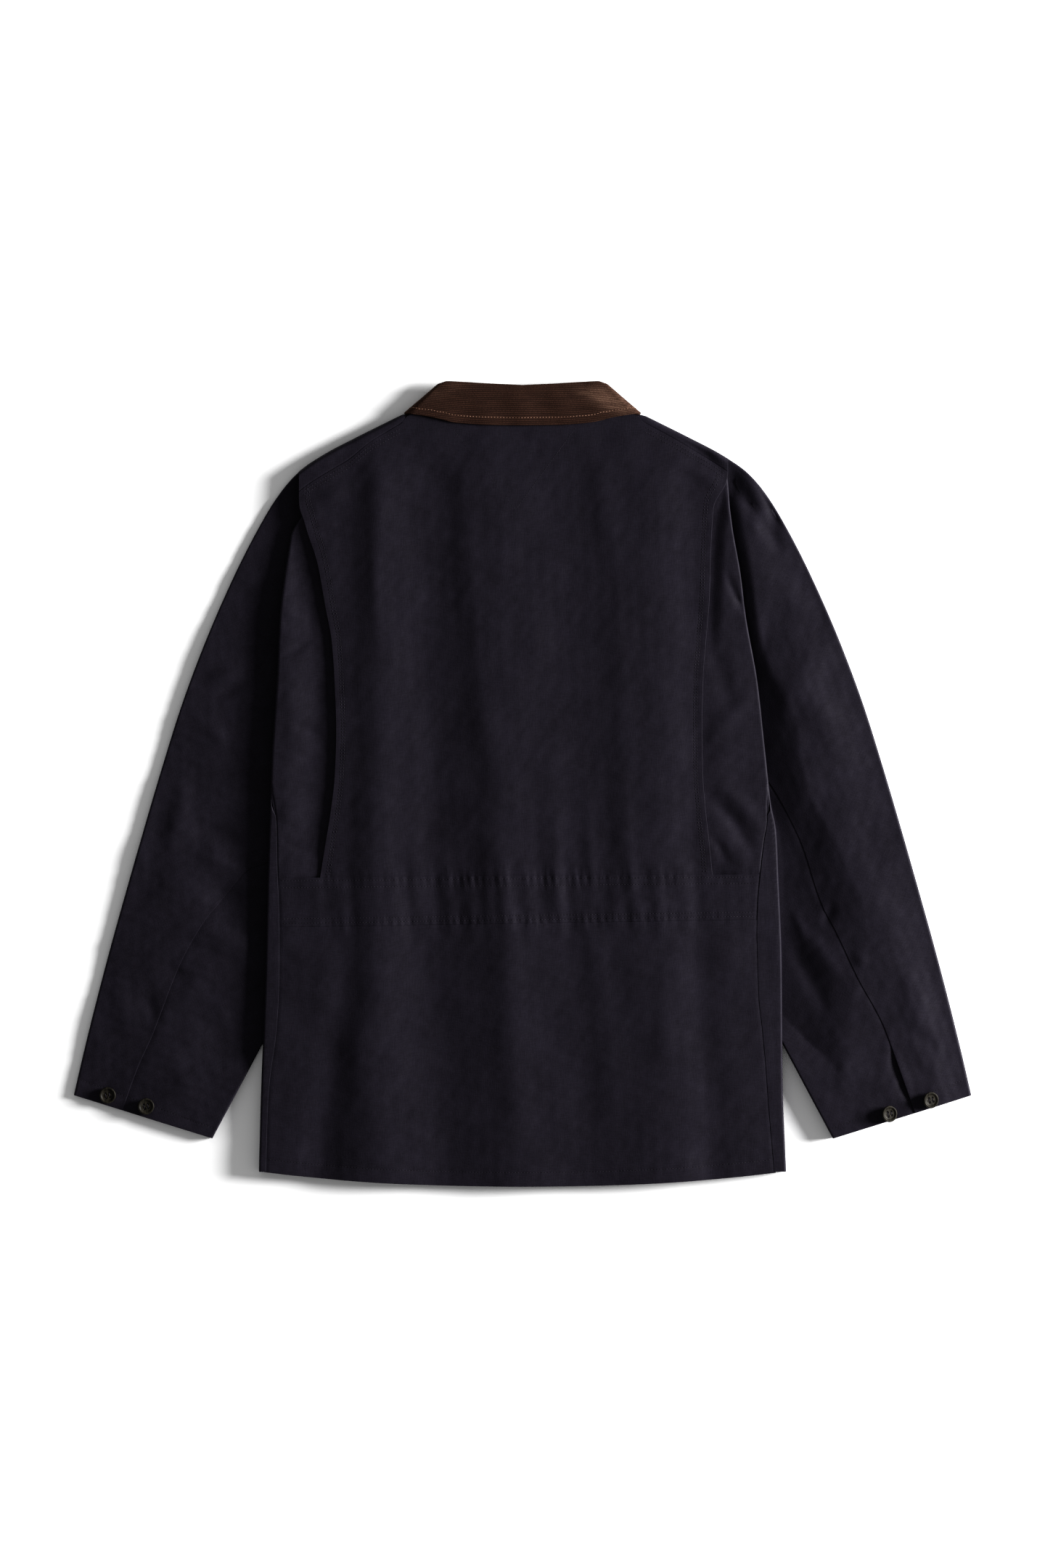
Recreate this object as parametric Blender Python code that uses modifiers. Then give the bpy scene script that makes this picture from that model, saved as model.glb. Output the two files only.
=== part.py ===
"""Waxed cotton jacket laid flat on its front, with its back upward.

Each piece of cloth is a grid surface worked out from the tables below and thickened into a wall.
Lengths are in millimetres until cloth() turns them to metres. +Y points to the collar, +Z up, and
the surface that the jacket lies on is z = 0. Side -1 is the wearer's left and side +1 the right.
"""

from math import pi

import bmesh
import bpy
import numpy as np

MM = 0.001
GAP = 0.3  # between pieces, at seams and where they lie on each other
WALL = 1.5  # waxed cotton with its seam turnings
CORD_WALL = 2.4  # corduroy, two plies

HEM_Y = -410.0  # at the centre back
HEM_RISE = 15.0  # of the hem's corners over its centre
UNDERARM_Y = -23.0  # top of the side seam
WAIST_TOP_Y, WAIST_TOP_TILT = -93.5, 0.0075  # seam between the back and the casing
WAIST_LOW_Y, WAIST_LOW_TILT = -142.0, 0.016  # seam between the casing and the skirt
PLEAT_TUCK = 24.0  # how far the pleat layer runs in under the overlay
FRONT_LAP = 20.0  # each front past the centre

SIDE_REACH, SIDE_TURN = 5.0, 20.0  # the fold at the body's side: how far out, and cloth it takes up
SHOULDER_REACH, SHOULDER_TURN = 4.0, 16.0
SLEEVE_REACH, SLEEVE_TURN = 6.0, 17.0
INNER_REACH, INNER_TURN = 2.5, 8.0
PLEAT_REACH, PLEAT_TURN, PLEAT_DROP = 2.0, 6.0, 2.7  # lip of the pleat layer over the sleeve
PLEAT_FLOOR = 9.9  # lowest that the pleat layer lies

NECK_EASE = 1.0  # more room at the neck end of the shoulder seam
HEAD_GAP = 2.2  # between the fronts and the sleeve's head, on the hidden under side
STRIP_LEVEL = 2.9  # upper wall of the sleeve where the body presses it flat
TUCK_LEVEL = 4.9  # upper wall of the sleeve under the pleat layer
PRESSED_WIDTH = 28.0  # of that flat strip, from the inner fold
SIDE_LIFT = 4.4  # rise of the fronts over that strip
LEAF_LIFT = CORD_WALL + 2 * GAP  # rise of the fronts over the collar's leaves

BUTTON_R, BUTTON_THICK, BUTTON_HOLE_R = 8.4, 3.0, 1.0

# Grid lines of the pieces. Pieces that meet at a seam share its rows or shares, so that the gap stays even
FRONT_ROWS = (-395.0, -350.0, -305.0, -282.0, -258.0, -225.0, -185.0, -142.0, -118.0, -93.5, -58.0, -23.0, -15.0,
              -6.0, 20.0, 50.0, 110.0, 180.0, 240.0, 280.0, 303.0, 315.0, 315.15, 315.3, 315.45, 315.65, 316.0)
SIDE_HEM_Y, SHOULDER_END_Y, FOLD_ROW = -395.0, 303.0, 315.0
SIDE_FOLD_U = 0.8
NECK_END, SHOULDER_START = 118.5, 122.0  # how far out the neck edge ends and the whole shoulder starts
SHOULDER_SHARES = (0.63, 0.68, 0.74, 0.8, 0.83, 0.86, 0.89, 0.92, 0.95, 1.0)
FRONT_SHARES = (-1.0, 0.0, 0.13, 0.25, 0.36, 0.46) + SHOULDER_SHARES
BACK_SHARES = tuple(-s for s in reversed(SHOULDER_SHARES)) + tuple(k * 0.08 for k in range(-6, 7)) + SHOULDER_SHARES
PLEAT_SHARES = (0.0, 0.25, 0.5, 0.7, 0.8, 0.87, 0.92, 0.96, 1.0)
PLEAT_ROWS = (-93.5, -58.0, -23.0, -15.0, -10.0, -4.0, 2.0, 8.0, 20.0, 50.0, 90.0, 135.0, 180.0, 225.0, 260.0, 286.0)
TOP_SLEEVE_SHARES = (0.0, 0.3, 0.6, 0.82, 0.92, 0.96, 1.0, 1.2, 1.4, 1.6, 1.8, 2.0, 2.15, 2.35, 2.6, 2.82, 3.0)
UNDER_SLEEVE_SHARES = (0.0, 0.5, 1.0, 1.25, 1.5, 1.75, 2.0, 2.15, 2.4, 2.7, 3.0)
SLEEVE_ROWS = (0.0, 0.04, 0.08, 0.12, 0.17, 0.23, 0.3, 0.38, 0.46, 0.54, 0.62, 0.7, 0.78, 0.86, 0.93, 1.0)
COLLAR_HALF = (0.1, 0.2, 0.3, 0.38, 0.44, 0.48, 0.5, 0.52, 0.54, 0.56, 0.58, 0.6, 0.64, 0.7, 0.8, 0.9, 1.0)
COLLAR_STATIONS = tuple(-s for s in reversed(COLLAR_HALF)) + (0.0,) + COLLAR_HALF

# Outer line of the laid jacket, over the shoulder and down the sleeve
ARM_LINE = (  # y, distance from the centre
    (376.0, 122.0),
    (352.5, 169.5),
    (334.5, 203.5),
    (317.0, 228.5),
    (293.0, 249.0),
    (259.0, 269.5),
    (215.0, 292.0),
    (148.0, 321.5),
    (81.5, 346.5),
    (15.0, 367.5),
    (-74.0, 393.5),
    (-185.0, 424.5),
    (-274.0, 447.0),
    (-317.5, 457.0),
)
# Side edge of the body, which lies over the sleeve
BODY_EDGE = (  # y, left, right
    (316.0, 228.0, 213.0),
    (294.0, 230.5, 210.0),
    (267.0, 233.5, 212.5),
    (214.0, 241.5, 221.5),
    (170.0, 246.5, 227.0),
    (105.0, 249.5, 238.5),
    (38.0, 254.0, 246.0),
    (-20.0, 256.5, 252.5),
    (-49.0, 257.5, 258.0),
    (-93.0, 259.0, 260.0),
    (-183.0, 261.0, 263.5),
    (-258.0, 263.5, 264.0),
    (-305.0, 265.5, 264.5),
    (-393.0, 268.0, 268.0),
)
# Free side edges of the back overlay
OVERLAY_EDGE = (  # y, left, right
    (310.0, 228.0, 208.0),
    (295.0, 227.5, 202.0),
    (262.0, 221.0, 195.0),
    (218.0, 209.0, 192.0),
    (172.0, 201.0, 190.5),
    (135.0, 194.5, 187.5),
    (92.0, 191.5, 184.0),
    (48.0, 190.0, 183.0),
    (5.0, 191.5, 183.5),
    (-32.0, 196.0, 186.5),
    (-61.0, 201.0, 190.0),
    (-94.0, 206.5, 193.5),
)
# Cloth of the fronts that shows on the back, from the side edge to the side seam
SIDE_STRIP = (  # y, left, right
    (-23.0, 6.8, 7.0),
    (-55.0, 7.5, 12.0),
    (-95.0, 10.0, 18.5),
    (-121.0, 11.8, 22.0),
    (-161.0, 13.2, 24.5),
    (-216.0, 14.0, 23.5),
    (-250.0, 13.0, 20.0),
    (-300.0, 8.5, 16.0),
    (-334.0, 7.0, 14.5),
    (-394.0, 7.0, 12.0),
)
# The same from the shoulder's outline down to the shoulder seam
SHOULDER_STRIP = (  # x, left, right
    (124.0, 8.0, 7.0),
    (153.0, 11.0, 8.5),
    (181.0, 19.0, 11.0),
    (205.0, 20.0, 13.0),
    (226.0, 20.0, 15.0),
)
FRONT_NECK = (  # x, y
    (-20.0, 297.0),
    (10.0, 299.0),
    (40.0, 307.0),
    (70.0, 324.0),
    (98.0, 350.0),
    (112.0, 362.0),
    (122.0, 366.0),
)
BACK_NECK = (  # x, y
    (0.0, 376.0),
    (90.0, 377.0),
    (106.0, 377.0),
    (113.0, 375.5),
    (118.5, 373.5),
)
# Front edge of the fronts at the armhole, in from the body's edge
ARMHOLE_INSET = (  # y, inset
    (12.0, 24.0),
    (150.0, 24.0),
    (215.0, 18.5),
    (265.0, 9.0),
    (303.0, 1.5),
)
# Middle of the back's wall over the ground
BACK_LEVEL = (  # y, level
    (410.0, 12.0),
    (350.0, 12.0),
    (280.0, 14.5),
    (180.0, 16.5),
    (40.0, 17.0),
    (-95.0, 16.0),
    (-142.0, 15.5),
    (-250.0, 15.5),
    (-350.0, 14.5),
    (-410.0, 13.5),
)
# Soft folds that hang down the back, ridges and troughs: place at three heights and their rise there
FOLDS = (  # x at the yoke, waist, hem; half width; rise at the yoke, waist, hem
    (-174.0, -172.0, -208.0, 20.0, -1.5, -2.0, -3.0),
    (-140.0, -142.0, -150.0, 30.0, 2.5, 3.5, 4.0),
    (-92.0, -84.0, -72.0, 26.0, -2.5, -4.0, -3.5),
    (-30.0, -12.0, -4.0, 28.0, 2.0, 4.0, 3.5),
    (42.0, 56.0, 54.0, 26.0, -1.5, -3.0, -2.5),
    (118.0, 124.0, 138.0, 40.0, 2.5, 3.5, 4.0),
    (172.0, 178.0, 196.0, 18.0, -1.0, -1.5, -2.0),
)
FOLD_HEIGHTS = (300.0, -120.0, -400.0)  # of the three columns above
# Elbow seam, down the sleeve: share of the width in from the outer line
ELBOW_SEAM = (  # along, left, right
    (0.0, 0.90, 0.87),
    (0.2, 0.86, 0.695),
    (0.33, 0.775, 0.61),
    (0.43, 0.63, 0.56),
    (0.51, 0.545, 0.54),
    (0.61, 0.455, 0.50),
    (0.72, 0.408, 0.475),
    (0.84, 0.395, 0.425),
    (0.92, 0.367, 0.42),
    (1.0, 0.352, 0.41),
)
FRONT_SEAM = 0.80  # share of the sleeve's width in from the outer line, on the under side
# Inner fold of the sleeve where it has left the body's side
INNER_LINE = ((-215.0, 240.5), (-257.0, 261.8), (-361.0, 317.0))  # y, distance from the centre
SLEEVE_LEVEL = ((0.0, 8.6), (0.3, 9.6), (0.7, 9.4), (1.0, 8.2))  # along, middle of the upper wall
SLEEVE_FOLDS = (  # along at the outer line, along at the inner fold, half width, rise
    (0.16, 0.02, 0.030, -1.1),
    (0.27, 0.12, 0.035, 1.2),
    (0.45, 0.36, 0.045, -1.0),
    (0.60, 0.62, 0.050, 1.0),
    (0.80, 0.74, 0.040, -0.8),
)
# Collar from the centre back round the side to its point: free edge, fold line, and 1 on the back, 0 on the front
COLLAR_FALL = (  # along, free x, free y, fold x, fold y, height share
    (0.00, 0.0, 365.2, 0.0, 406.4, 1.0),
    (0.15, 35.0, 365.6, 34.0, 408.0, 1.0),
    (0.30, 68.0, 368.0, 60.0, 409.6, 1.0),
    (0.42, 96.0, 374.2, 76.5, 410.3, 1.0),
    (0.48, 112.0, 376.6, 83.0, 408.0, 1.0),
    (0.52, 118.5, 377.2, 86.5, 406.0, 0.8),
    (0.55, 120.3, 377.2, 88.0, 404.5, 0.5),
    (0.58, 118.0, 375.0, 87.0, 402.5, 0.22),
    (0.62, 113.0, 368.0, 81.0, 397.0, 0.05),
    (0.68, 102.0, 350.0, 68.0, 386.0, 0.0),
    (0.84, 80.0, 306.0, 34.0, 348.0, 0.0),
    (1.00, 62.0, 268.0, 5.0, 317.0, 0.0),
)
COLLAR_STAND = (  # along, seam x, seam y, fold x, fold y, height share
    (0.00, 0.0, 378.4, 0.0, 403.5, 1.0),
    (0.25, 45.0, 378.6, 44.0, 405.0, 1.0),
    (0.50, 84.0, 378.4, 66.0, 404.5, 1.0),
    (0.60, 98.0, 376.6, 72.0, 401.5, 0.9),
    (0.66, 103.0, 371.0, 76.0, 397.0, 0.55),
    (0.72, 100.0, 363.0, 73.0, 391.5, 0.2),
    (0.80, 88.0, 349.0, 60.0, 375.0, 0.0),
    (0.90, 60.0, 321.5, 34.0, 346.0, 0.0),
    (1.00, 22.0, 305.0, 7.0, 318.0, 0.0),
)
BUTTONS = (  # name, side, x, y
    ("button_left_1", -1, 423.1, -317.3),
    ("button_left_2", -1, 383.9, -328.4),
    ("button_right_1", 1, 415.3, -321.7),
    ("button_right_2", 1, 373.1, -335.8),
)

WAXED = ("Waxed cotton", (0.012, 0.011, 0.016, 1.0), 0.62)
CORDUROY = ("Cotton corduroy", (0.042, 0.020, 0.014, 1.0), 0.9)
HORN = ("Horn button", (0.045, 0.038, 0.030, 1.0), 0.35)


def curve(table, column=1):
    """A table's column against its first, as a cubic that never overshoots, level past its ends."""
    rows = np.array(sorted(tuple(row) for row in table), dtype=float)
    at, value = rows[:, 0], rows[:, column]
    step = np.diff(at)
    rise = np.diff(value) / step
    product = rise[:-1] * rise[1:]
    mean = np.where(product > 0, 2 * product / np.where(product > 0, rise[:-1] + rise[1:], 1), 0)
    slope = np.concatenate([rise[:1], mean, rise[-1:]])

    def read(x):
        x = np.clip(x, at[0], at[-1])
        i = np.clip(np.searchsorted(at, x, side="right") - 1, 0, len(step) - 1)
        t = (x - at[i]) / step[i]
        start = (1 + 2 * t) * (1 - t) ** 2 * value[i] + t * (1 - t) ** 2 * step[i] * slope[i]
        return start + t * t * (3 - 2 * t) * value[i + 1] + t * t * (t - 1) * step[i] * slope[i + 1]

    return read


def sided(table):
    """A table with a left and a right column, as a function of side and place."""
    columns = {-1: curve(table, 1), 1: curve(table, 2)}
    return lambda side, at: columns[side](at)


def ramp(x, start, end):
    """0 before start and 1 past end, level at both."""
    t = np.clip((x - start) / (end - start), 0.0, 1.0)
    return t * t * (3 - 2 * t)


def mix(a, b, share):
    return a + (b - a) * share


def turn(run, reach, length):
    """Fold of a strip: how far out and what share of the way up, `run` along it from the fold's start."""
    angle = np.clip(run / length, 0.0, 1.0) * pi
    out = reach * np.sin(angle) + np.minimum(run, 0.0) - np.maximum(run - length, 0.0)
    return out, (1 - np.cos(angle)) / 2


arm_x = curve(ARM_LINE)
shoulder_y = curve([(x, y) for y, x in ARM_LINE[:5]])
body_edge = sided(BODY_EDGE)
overlay_edge = sided(OVERLAY_EDGE)
side_strip = sided(SIDE_STRIP)
shoulder_strip = sided(SHOULDER_STRIP)
elbow_seam = sided(ELBOW_SEAM)
front_neck, back_neck = curve(FRONT_NECK), curve(BACK_NECK)
armhole_inset = curve(ARMHOLE_INSET)
base_level = curve(BACK_LEVEL)
inner_line = curve(INNER_LINE)
sleeve_base = curve(SLEEVE_LEVEL)


def hem_y(x):
    return HEM_Y + HEM_RISE * np.minimum(np.abs(x) / 265.0, 1.0) ** 2.3


def waist_top_y(x):
    return WAIST_TOP_Y + WAIST_TOP_TILT * x


def waist_low_y(x):
    return WAIST_LOW_Y + WAIST_LOW_TILT * x


def shoulder_end(side):
    """How far out the shoulder seam runs."""
    return body_edge(side, SHOULDER_END_Y) - armhole_inset(SHOULDER_END_Y)


def seam_y(side, x):
    """The shoulder seam on the back, joined to the back neck."""
    shoulder = shoulder_y(x) - shoulder_strip(side, x)
    return mix(back_neck(x), shoulder, ramp(x, NECK_END, SHOULDER_START))


def neck_shares():
    """Shares of the columns where the shoulder's seam starts, on the left and on the right."""
    return tuple(x / shoulder_end(side) for side in (-1, 1) for x in (NECK_END, SHOULDER_START))


def back_level(x, y):
    """Middle of the back's wall: a low crown over the chest that thins to the sides, with the soft folds."""
    x, y = np.broadcast_arrays(np.asarray(x, float), np.asarray(y, float))
    level = base_level(y) - 1.5 * ramp(np.abs(x), 190.0, 262.0)
    fade = 1 - ramp(y, 300.0, 372.0)
    for row in FOLDS:
        middle = curve(zip(FOLD_HEIGHTS, row[0:3]))(y)
        rise = curve(zip(FOLD_HEIGHTS, row[4:7]))(y)
        level = level + fade * rise * np.exp(-(((x - middle) / row[3]) ** 2))
    return level


def pleat_level(side, x, y):
    """Middle of the pleat layer's wall, under the overlay and then a little lower beside it."""
    beside = ramp(x, overlay_edge(side, y) - 12.0, overlay_edge(side, y) + 6.0)
    open_share = ramp(y, WAIST_TOP_Y, -40.0) * (1 - ramp(y, 230.0, 300.0))
    drop = WALL + GAP + 0.25 + beside * open_share * (2.2 if side < 0 else 0.6)
    return np.maximum(back_level(side * x, y) - drop, PLEAT_FLOOR)


def front_level(x, y, lap):
    """Middle of a front's wall: on the ground, but over the sleeve's flat strip, the collar's leaf and the lap."""
    x = np.abs(x)
    edge = np.minimum(body_edge(-1, y), body_edge(1, y))
    strip = ramp(x, edge - 62.0, edge - 34.0) * ramp(y, -300.0, -275.0) * (1 - ramp(y, 20.0, 50.0))
    leaf_edge = 62.0 + (y - 268.0) * 0.49
    leaf = (1 - ramp(x, leaf_edge + 20.0, leaf_edge + 42.0)) * ramp(y, 205.0, 240.0)
    return WALL / 2 + np.maximum(SIDE_LIFT * strip, LEAF_LIFT * leaf) + lap


def front(side):
    """A front. The share u runs from its centre edge (-1) over the centre (0) and the side fold's start
    (SIDE_FOLD_U) to the side seam or armhole (1). The row v is the height at the side, and past FOLD_ROW
    the share of the band that turns over the shoulder."""
    over = WALL + 2 * GAP if side > 0 else 0.0
    end = shoulder_end(side)

    def fold_start(x):
        return mix(front_neck(x) - 24.0, shoulder_y(x) - SHOULDER_REACH, ramp(x, 112.0, SHOULDER_START))

    def pattern_top(x):
        shoulder = shoulder_y(x) - 2 * SHOULDER_REACH + SHOULDER_TURN + shoulder_strip(side, x)
        return mix(front_neck(x), shoulder, ramp(x, NECK_END, SHOULDER_START))

    def surface(u, v):
        row = np.minimum(v, FOLD_ROW)
        edge = body_edge(side, row)
        unwrapped = ramp(row, UNDERARM_Y, -6.0)
        wrapped = edge - 2 * SIDE_REACH + SIDE_TURN + side_strip(side, row) - GAP / 2 - 0.1
        armhole = np.where(row > SHOULDER_END_Y, end, edge - armhole_inset(row))
        outer = mix(wrapped, armhole, unwrapped)
        near = mix(edge - SIDE_REACH, SIDE_FOLD_U * armhole, unwrapped)
        past = (u - SIDE_FOLD_U) / (1 - SIDE_FOLD_U)
        run = np.where(u < SIDE_FOLD_U, near * u / SIDE_FOLD_U, mix(near, outer, past))
        run = np.where(u < 0, FRONT_LAP * u, run)
        hem = hem_y(np.minimum(run, edge))
        start = fold_start(np.minimum(run, end))
        y = row + (start - FOLD_ROW) * ramp(row, 60.0, FOLD_ROW)
        y = y + (hem - SIDE_HEM_Y) * (1 - ramp(row, SIDE_HEM_Y, -150.0))
        y = np.where(v > FOLD_ROW, mix(start, pattern_top(run), v - FOLD_ROW), y)
        edge = body_edge(side, y)
        out, up = turn(run - edge + SIDE_REACH, SIDE_REACH, SIDE_TURN)
        below = row < 60.0
        x = np.where(below, edge - SIDE_REACH + out, run)
        up = np.where(below, up, 0.0)
        out, over_shoulder = turn(y - shoulder_y(x) + SHOULDER_REACH, SHOULDER_REACH, SHOULDER_TURN)
        at_shoulder = (x > SHOULDER_START - 0.01) & (v >= FOLD_ROW)
        y = np.where(at_shoulder, shoulder_y(x) - SHOULDER_REACH + out, y)
        up = np.where(at_shoulder, over_shoulder, up)
        lap = over * (1 - ramp(x, FRONT_LAP + 12.0, FRONT_LAP + 45.0))
        inner_x = np.minimum(x, body_edge(side, y) - SIDE_REACH)
        low, high = front_level(x, y, lap), back_level(side * inner_x, y)
        high = mix(high, pleat_level(side, inner_x, y), ramp(y, -108.0, -84.0) * (1 - ramp(y, 60.0, 100.0)))
        return side * x, y, mix(low, high, up)

    return surface


def back_panel(u, v):
    """The overlay: u is the share out from the centre to the left (-1) or right (1) free edge, v from the
    casing to the neck and shoulders."""
    row = mix(WAIST_TOP_Y, 303.0, v)
    left = mix(overlay_edge(-1, row), shoulder_end(-1), ramp(row, 270.0, 303.0))
    right = mix(overlay_edge(1, row), shoulder_end(1), ramp(row, 270.0, 303.0))
    x = np.where(u < 0, left * u, right * u)
    top = np.where(x < 0, seam_y(-1, -x), seam_y(1, x)) - 4 * GAP
    top = top - NECK_EASE * (1 - ramp(np.abs(x), SHOULDER_START, 150.0))
    y = mix(waist_top_y(x) + GAP / 2, top, v)
    return x, y, back_level(x, y)


def back_side(side):
    """A pleat layer: u from under the overlay to the lip over the sleeve, v its height."""
    def surface(u, v):
        inner = overlay_edge(side, v) - mix(PLEAT_TUCK, 30.0, ramp(v, 200.0, 280.0))
        edge = body_edge(side, v)
        seam = edge - side_strip(side, v) - GAP / 2
        last = mix(seam, edge - PLEAT_REACH - 1.0, ramp(v, -10.0, 2.0))
        last = mix(last, edge - 2 * PLEAT_REACH + PLEAT_TURN + 3.0, ramp(v, 2.0, 20.0))
        run = mix(inner, last, u)
        out, under = turn(run - edge + PLEAT_REACH, PLEAT_REACH, PLEAT_TURN)
        x = edge - PLEAT_REACH + out
        y = np.where(v > WAIST_TOP_Y, v, waist_top_y(side * x) + GAP / 2)
        level = pleat_level(side, np.minimum(x, edge - PLEAT_REACH), y)
        return side * x, y, level - PLEAT_DROP * under

    return surface


def across_back(low_y, high_y):
    """A panel from side seam to side seam, between two heights given as functions of x."""
    def surface(u, v):
        left_y, right_y = (mix(low_y(end), high_y(end), v) for end in (-250.0, 250.0))
        left = -body_edge(-1, left_y) + side_strip(-1, left_y) + GAP / 2
        right = body_edge(1, right_y) - side_strip(1, right_y) - GAP / 2
        x = mix(left, right, u)
        y = mix(low_y(x), high_y(x), v)
        return x, y, back_level(x, y)

    return surface


def sleeve_plan(side, along, across):
    """Place on the sleeve's plan: a patch between the outer line, inner fold, armhole and cuff."""
    start_y = shoulder_y(shoulder_end(side) + 2 * GAP)
    outer_y = mix(start_y, -317.5, along)
    inner_y = mix(-20.0, -361.0, along)
    outer = arm_x(outer_y)
    leave_y, leave_x = INNER_LINE[0]
    shift = (body_edge(side, inner_y) - body_edge(1, leave_y)) * (1 - ramp(inner_y, -190.0, -240.0))
    inner = np.where(inner_y > leave_y, leave_x + shift, inner_line(inner_y))
    head_y = mix(start_y, -20.0, across)
    head = body_edge(side, head_y) - armhole_inset(head_y)
    head = np.where(head_y > SHOULDER_END_Y, shoulder_end(side), head)
    head = head + mix(HEAD_GAP, 2 * GAP, ramp(head_y, 265.0, 300.0))
    inner_start = leave_x + body_edge(side, -20.0) - body_edge(1, leave_y)
    bow = (head - mix(arm_x(start_y), inner_start, across)) * (1 - along) ** 2
    return mix(outer, inner, across) + bow, mix(outer_y, inner_y, across)


def sleeve_level(side, along, across, x, y):
    """Middle of the sleeve's upper wall, pressed low beside and under the body's edge."""
    level = sleeve_base(along)
    for outer_at, inner_at, half, rise in SLEEVE_FOLDS:
        level = level + rise * np.exp(-(((along - mix(outer_at, inner_at, across)) / half) ** 2))
    beyond = x - body_edge(side, y)
    pressed = mix(STRIP_LEVEL, TUCK_LEVEL, ramp(y, 26.0, 90.0))
    free = np.maximum(ramp(beyond, 7.0, 38.0), ramp(y, 290.0, 314.0))
    free = np.maximum(free, ramp(y, -262.0, -300.0))
    return mix(np.minimum(pressed, level), level, free)


def sleeve(side, top):
    """Half of a sleeve: v from the armhole to the cuff. u runs from the front seam (0) along the lower wall
    to the fold (1), round it (2) and along the upper wall to the elbow seam (3); the fold is the outer
    line of the top sleeve and the inner fold of the under sleeve."""
    reach, length = (SLEEVE_REACH, SLEEVE_TURN) if top else (INNER_REACH, INNER_TURN)

    def surface(u, v):
        outer, inner = sleeve_plan(side, v, 0.0), sleeve_plan(side, v, 1.0)
        width = np.hypot(outer[0] - inner[0], outer[1] - inner[1])
        seam, lower = elbow_seam(side, v) * width, FRONT_SEAM * width
        if not top:
            seam, lower = width - seam, width - lower
        start = reach + GAP / 2 - lower
        end = length + seam - reach - GAP / 2
        past = u - 2
        if not top:
            strip = np.minimum(PRESSED_WIDTH, 0.6 * (end - length))
            past = np.where(past < 0.4, past / 0.4 * strip, mix(strip, end - length, (past - 0.4) / 0.6)) / (end - length)
        run = np.where(u < 1, mix(start, 0.0, u), np.where(u > 2, mix(length, end, past), (u - 1) * length))
        out, up = turn(run, reach, length)
        inward = reach - out
        across = inward / width if top else 1 - inward / width
        x, y = sleeve_plan(side, v, across)
        high = sleeve_level(side, v, across, x, y)
        return side * x, y, mix(WALL / 2, high, up)

    return surface


def collar(table, wall, under, over):
    """A collar band: u from one point round the back to the other, v from the free edge over the fold line.
    It lies `over` above the back's wall, and `under` above the ground in front."""
    columns = [curve([(row[0], row[k]) for row in table]) for k in range(1, 6)]

    def surface(u, v):
        side = np.where(u < 0, -1.0, 1.0)
        free_x, free_y, fold_x, fold_y, share = (read(np.abs(u)) for read in columns)
        x, y = mix(free_x, fold_x, v), mix(free_y, fold_y, v)
        high = back_level(side * x, np.minimum(y, 376.0)) + over
        return side * x, y, mix(under + wall / 2, high, share)

    return surface


def even(count):
    return [k / count for k in range(count + 1)]


def material(name, colour, roughness):
    made = bpy.data.materials.get(name)
    if made is None:
        made = bpy.data.materials.new(name)
        made.use_nodes = True
        shader = made.node_tree.nodes["Principled BSDF"]
        shader.inputs["Base Color"].default_value = colour
        shader.inputs["Roughness"].default_value = roughness
    return made


def cloth(name, surface, across, along, wall=WALL, finish=WAXED):
    """Makes one piece: an open grid on surface(u, v), u from the list across and v from the list along,
    with a wall about it."""
    grid = bmesh.new()
    bmesh.ops.create_grid(grid, x_segments=len(across) - 1, y_segments=len(along) - 1, size=0.5)
    points = np.array([vertex.co for vertex in grid.verts]) + 0.5
    u = np.array(across)[np.rint(points[:, 0] * (len(across) - 1)).astype(int)]
    v = np.array(along)[np.rint(points[:, 1] * (len(along) - 1)).astype(int)]
    for vertex, place in zip(grid.verts, np.column_stack(surface(u, v)) * MM):
        vertex.co = place
    mesh = bpy.data.meshes.new(name)
    grid.to_mesh(mesh)
    grid.free()
    mesh.materials.append(material(*finish))
    piece = bpy.data.objects.new(name, mesh)
    collection.objects.link(piece)
    thickness = piece.modifiers.new("Wall", "SOLIDIFY")
    thickness.thickness = wall * MM
    thickness.offset = 0.0
    mesh.shade_smooth()


def button(name, side, x, y):
    """A turned four-hole button with a raised rim, lying on the sleeve's cloth."""
    base = button_level(side, x, y) + WALL / 2 + GAP
    profile = bmesh.new()
    outline = ((0.0, 0.55), (0.62, 0.55), (0.78, 1.0), (0.92, 1.0), (1.0, 0.6), (0.86, 0.0), (0.0, 0.0))
    points = [profile.verts.new((r * BUTTON_R * MM, 0.0, h * BUTTON_THICK * MM)) for r, h in outline]
    for first, second in zip(points, points[1:]):
        profile.edges.new((first, second))
    mesh = bpy.data.meshes.new(name)
    profile.to_mesh(mesh)
    profile.free()
    mesh.materials.append(material(*HORN))
    piece = bpy.data.objects.new(name, mesh)
    piece.location = (side * x * MM, y * MM, base * MM)
    collection.objects.link(piece)
    spin = piece.modifiers.new("Turned", "SCREW")
    spin.steps = spin.render_steps = 16
    spin.use_merge_vertices = True
    spin.merge_threshold = 0.00001
    holes = piece.modifiers.new("Holes", "BOOLEAN")
    holes.operation = "DIFFERENCE"
    holes.object = hole_cutter(name, side * x, y, base)


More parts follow.
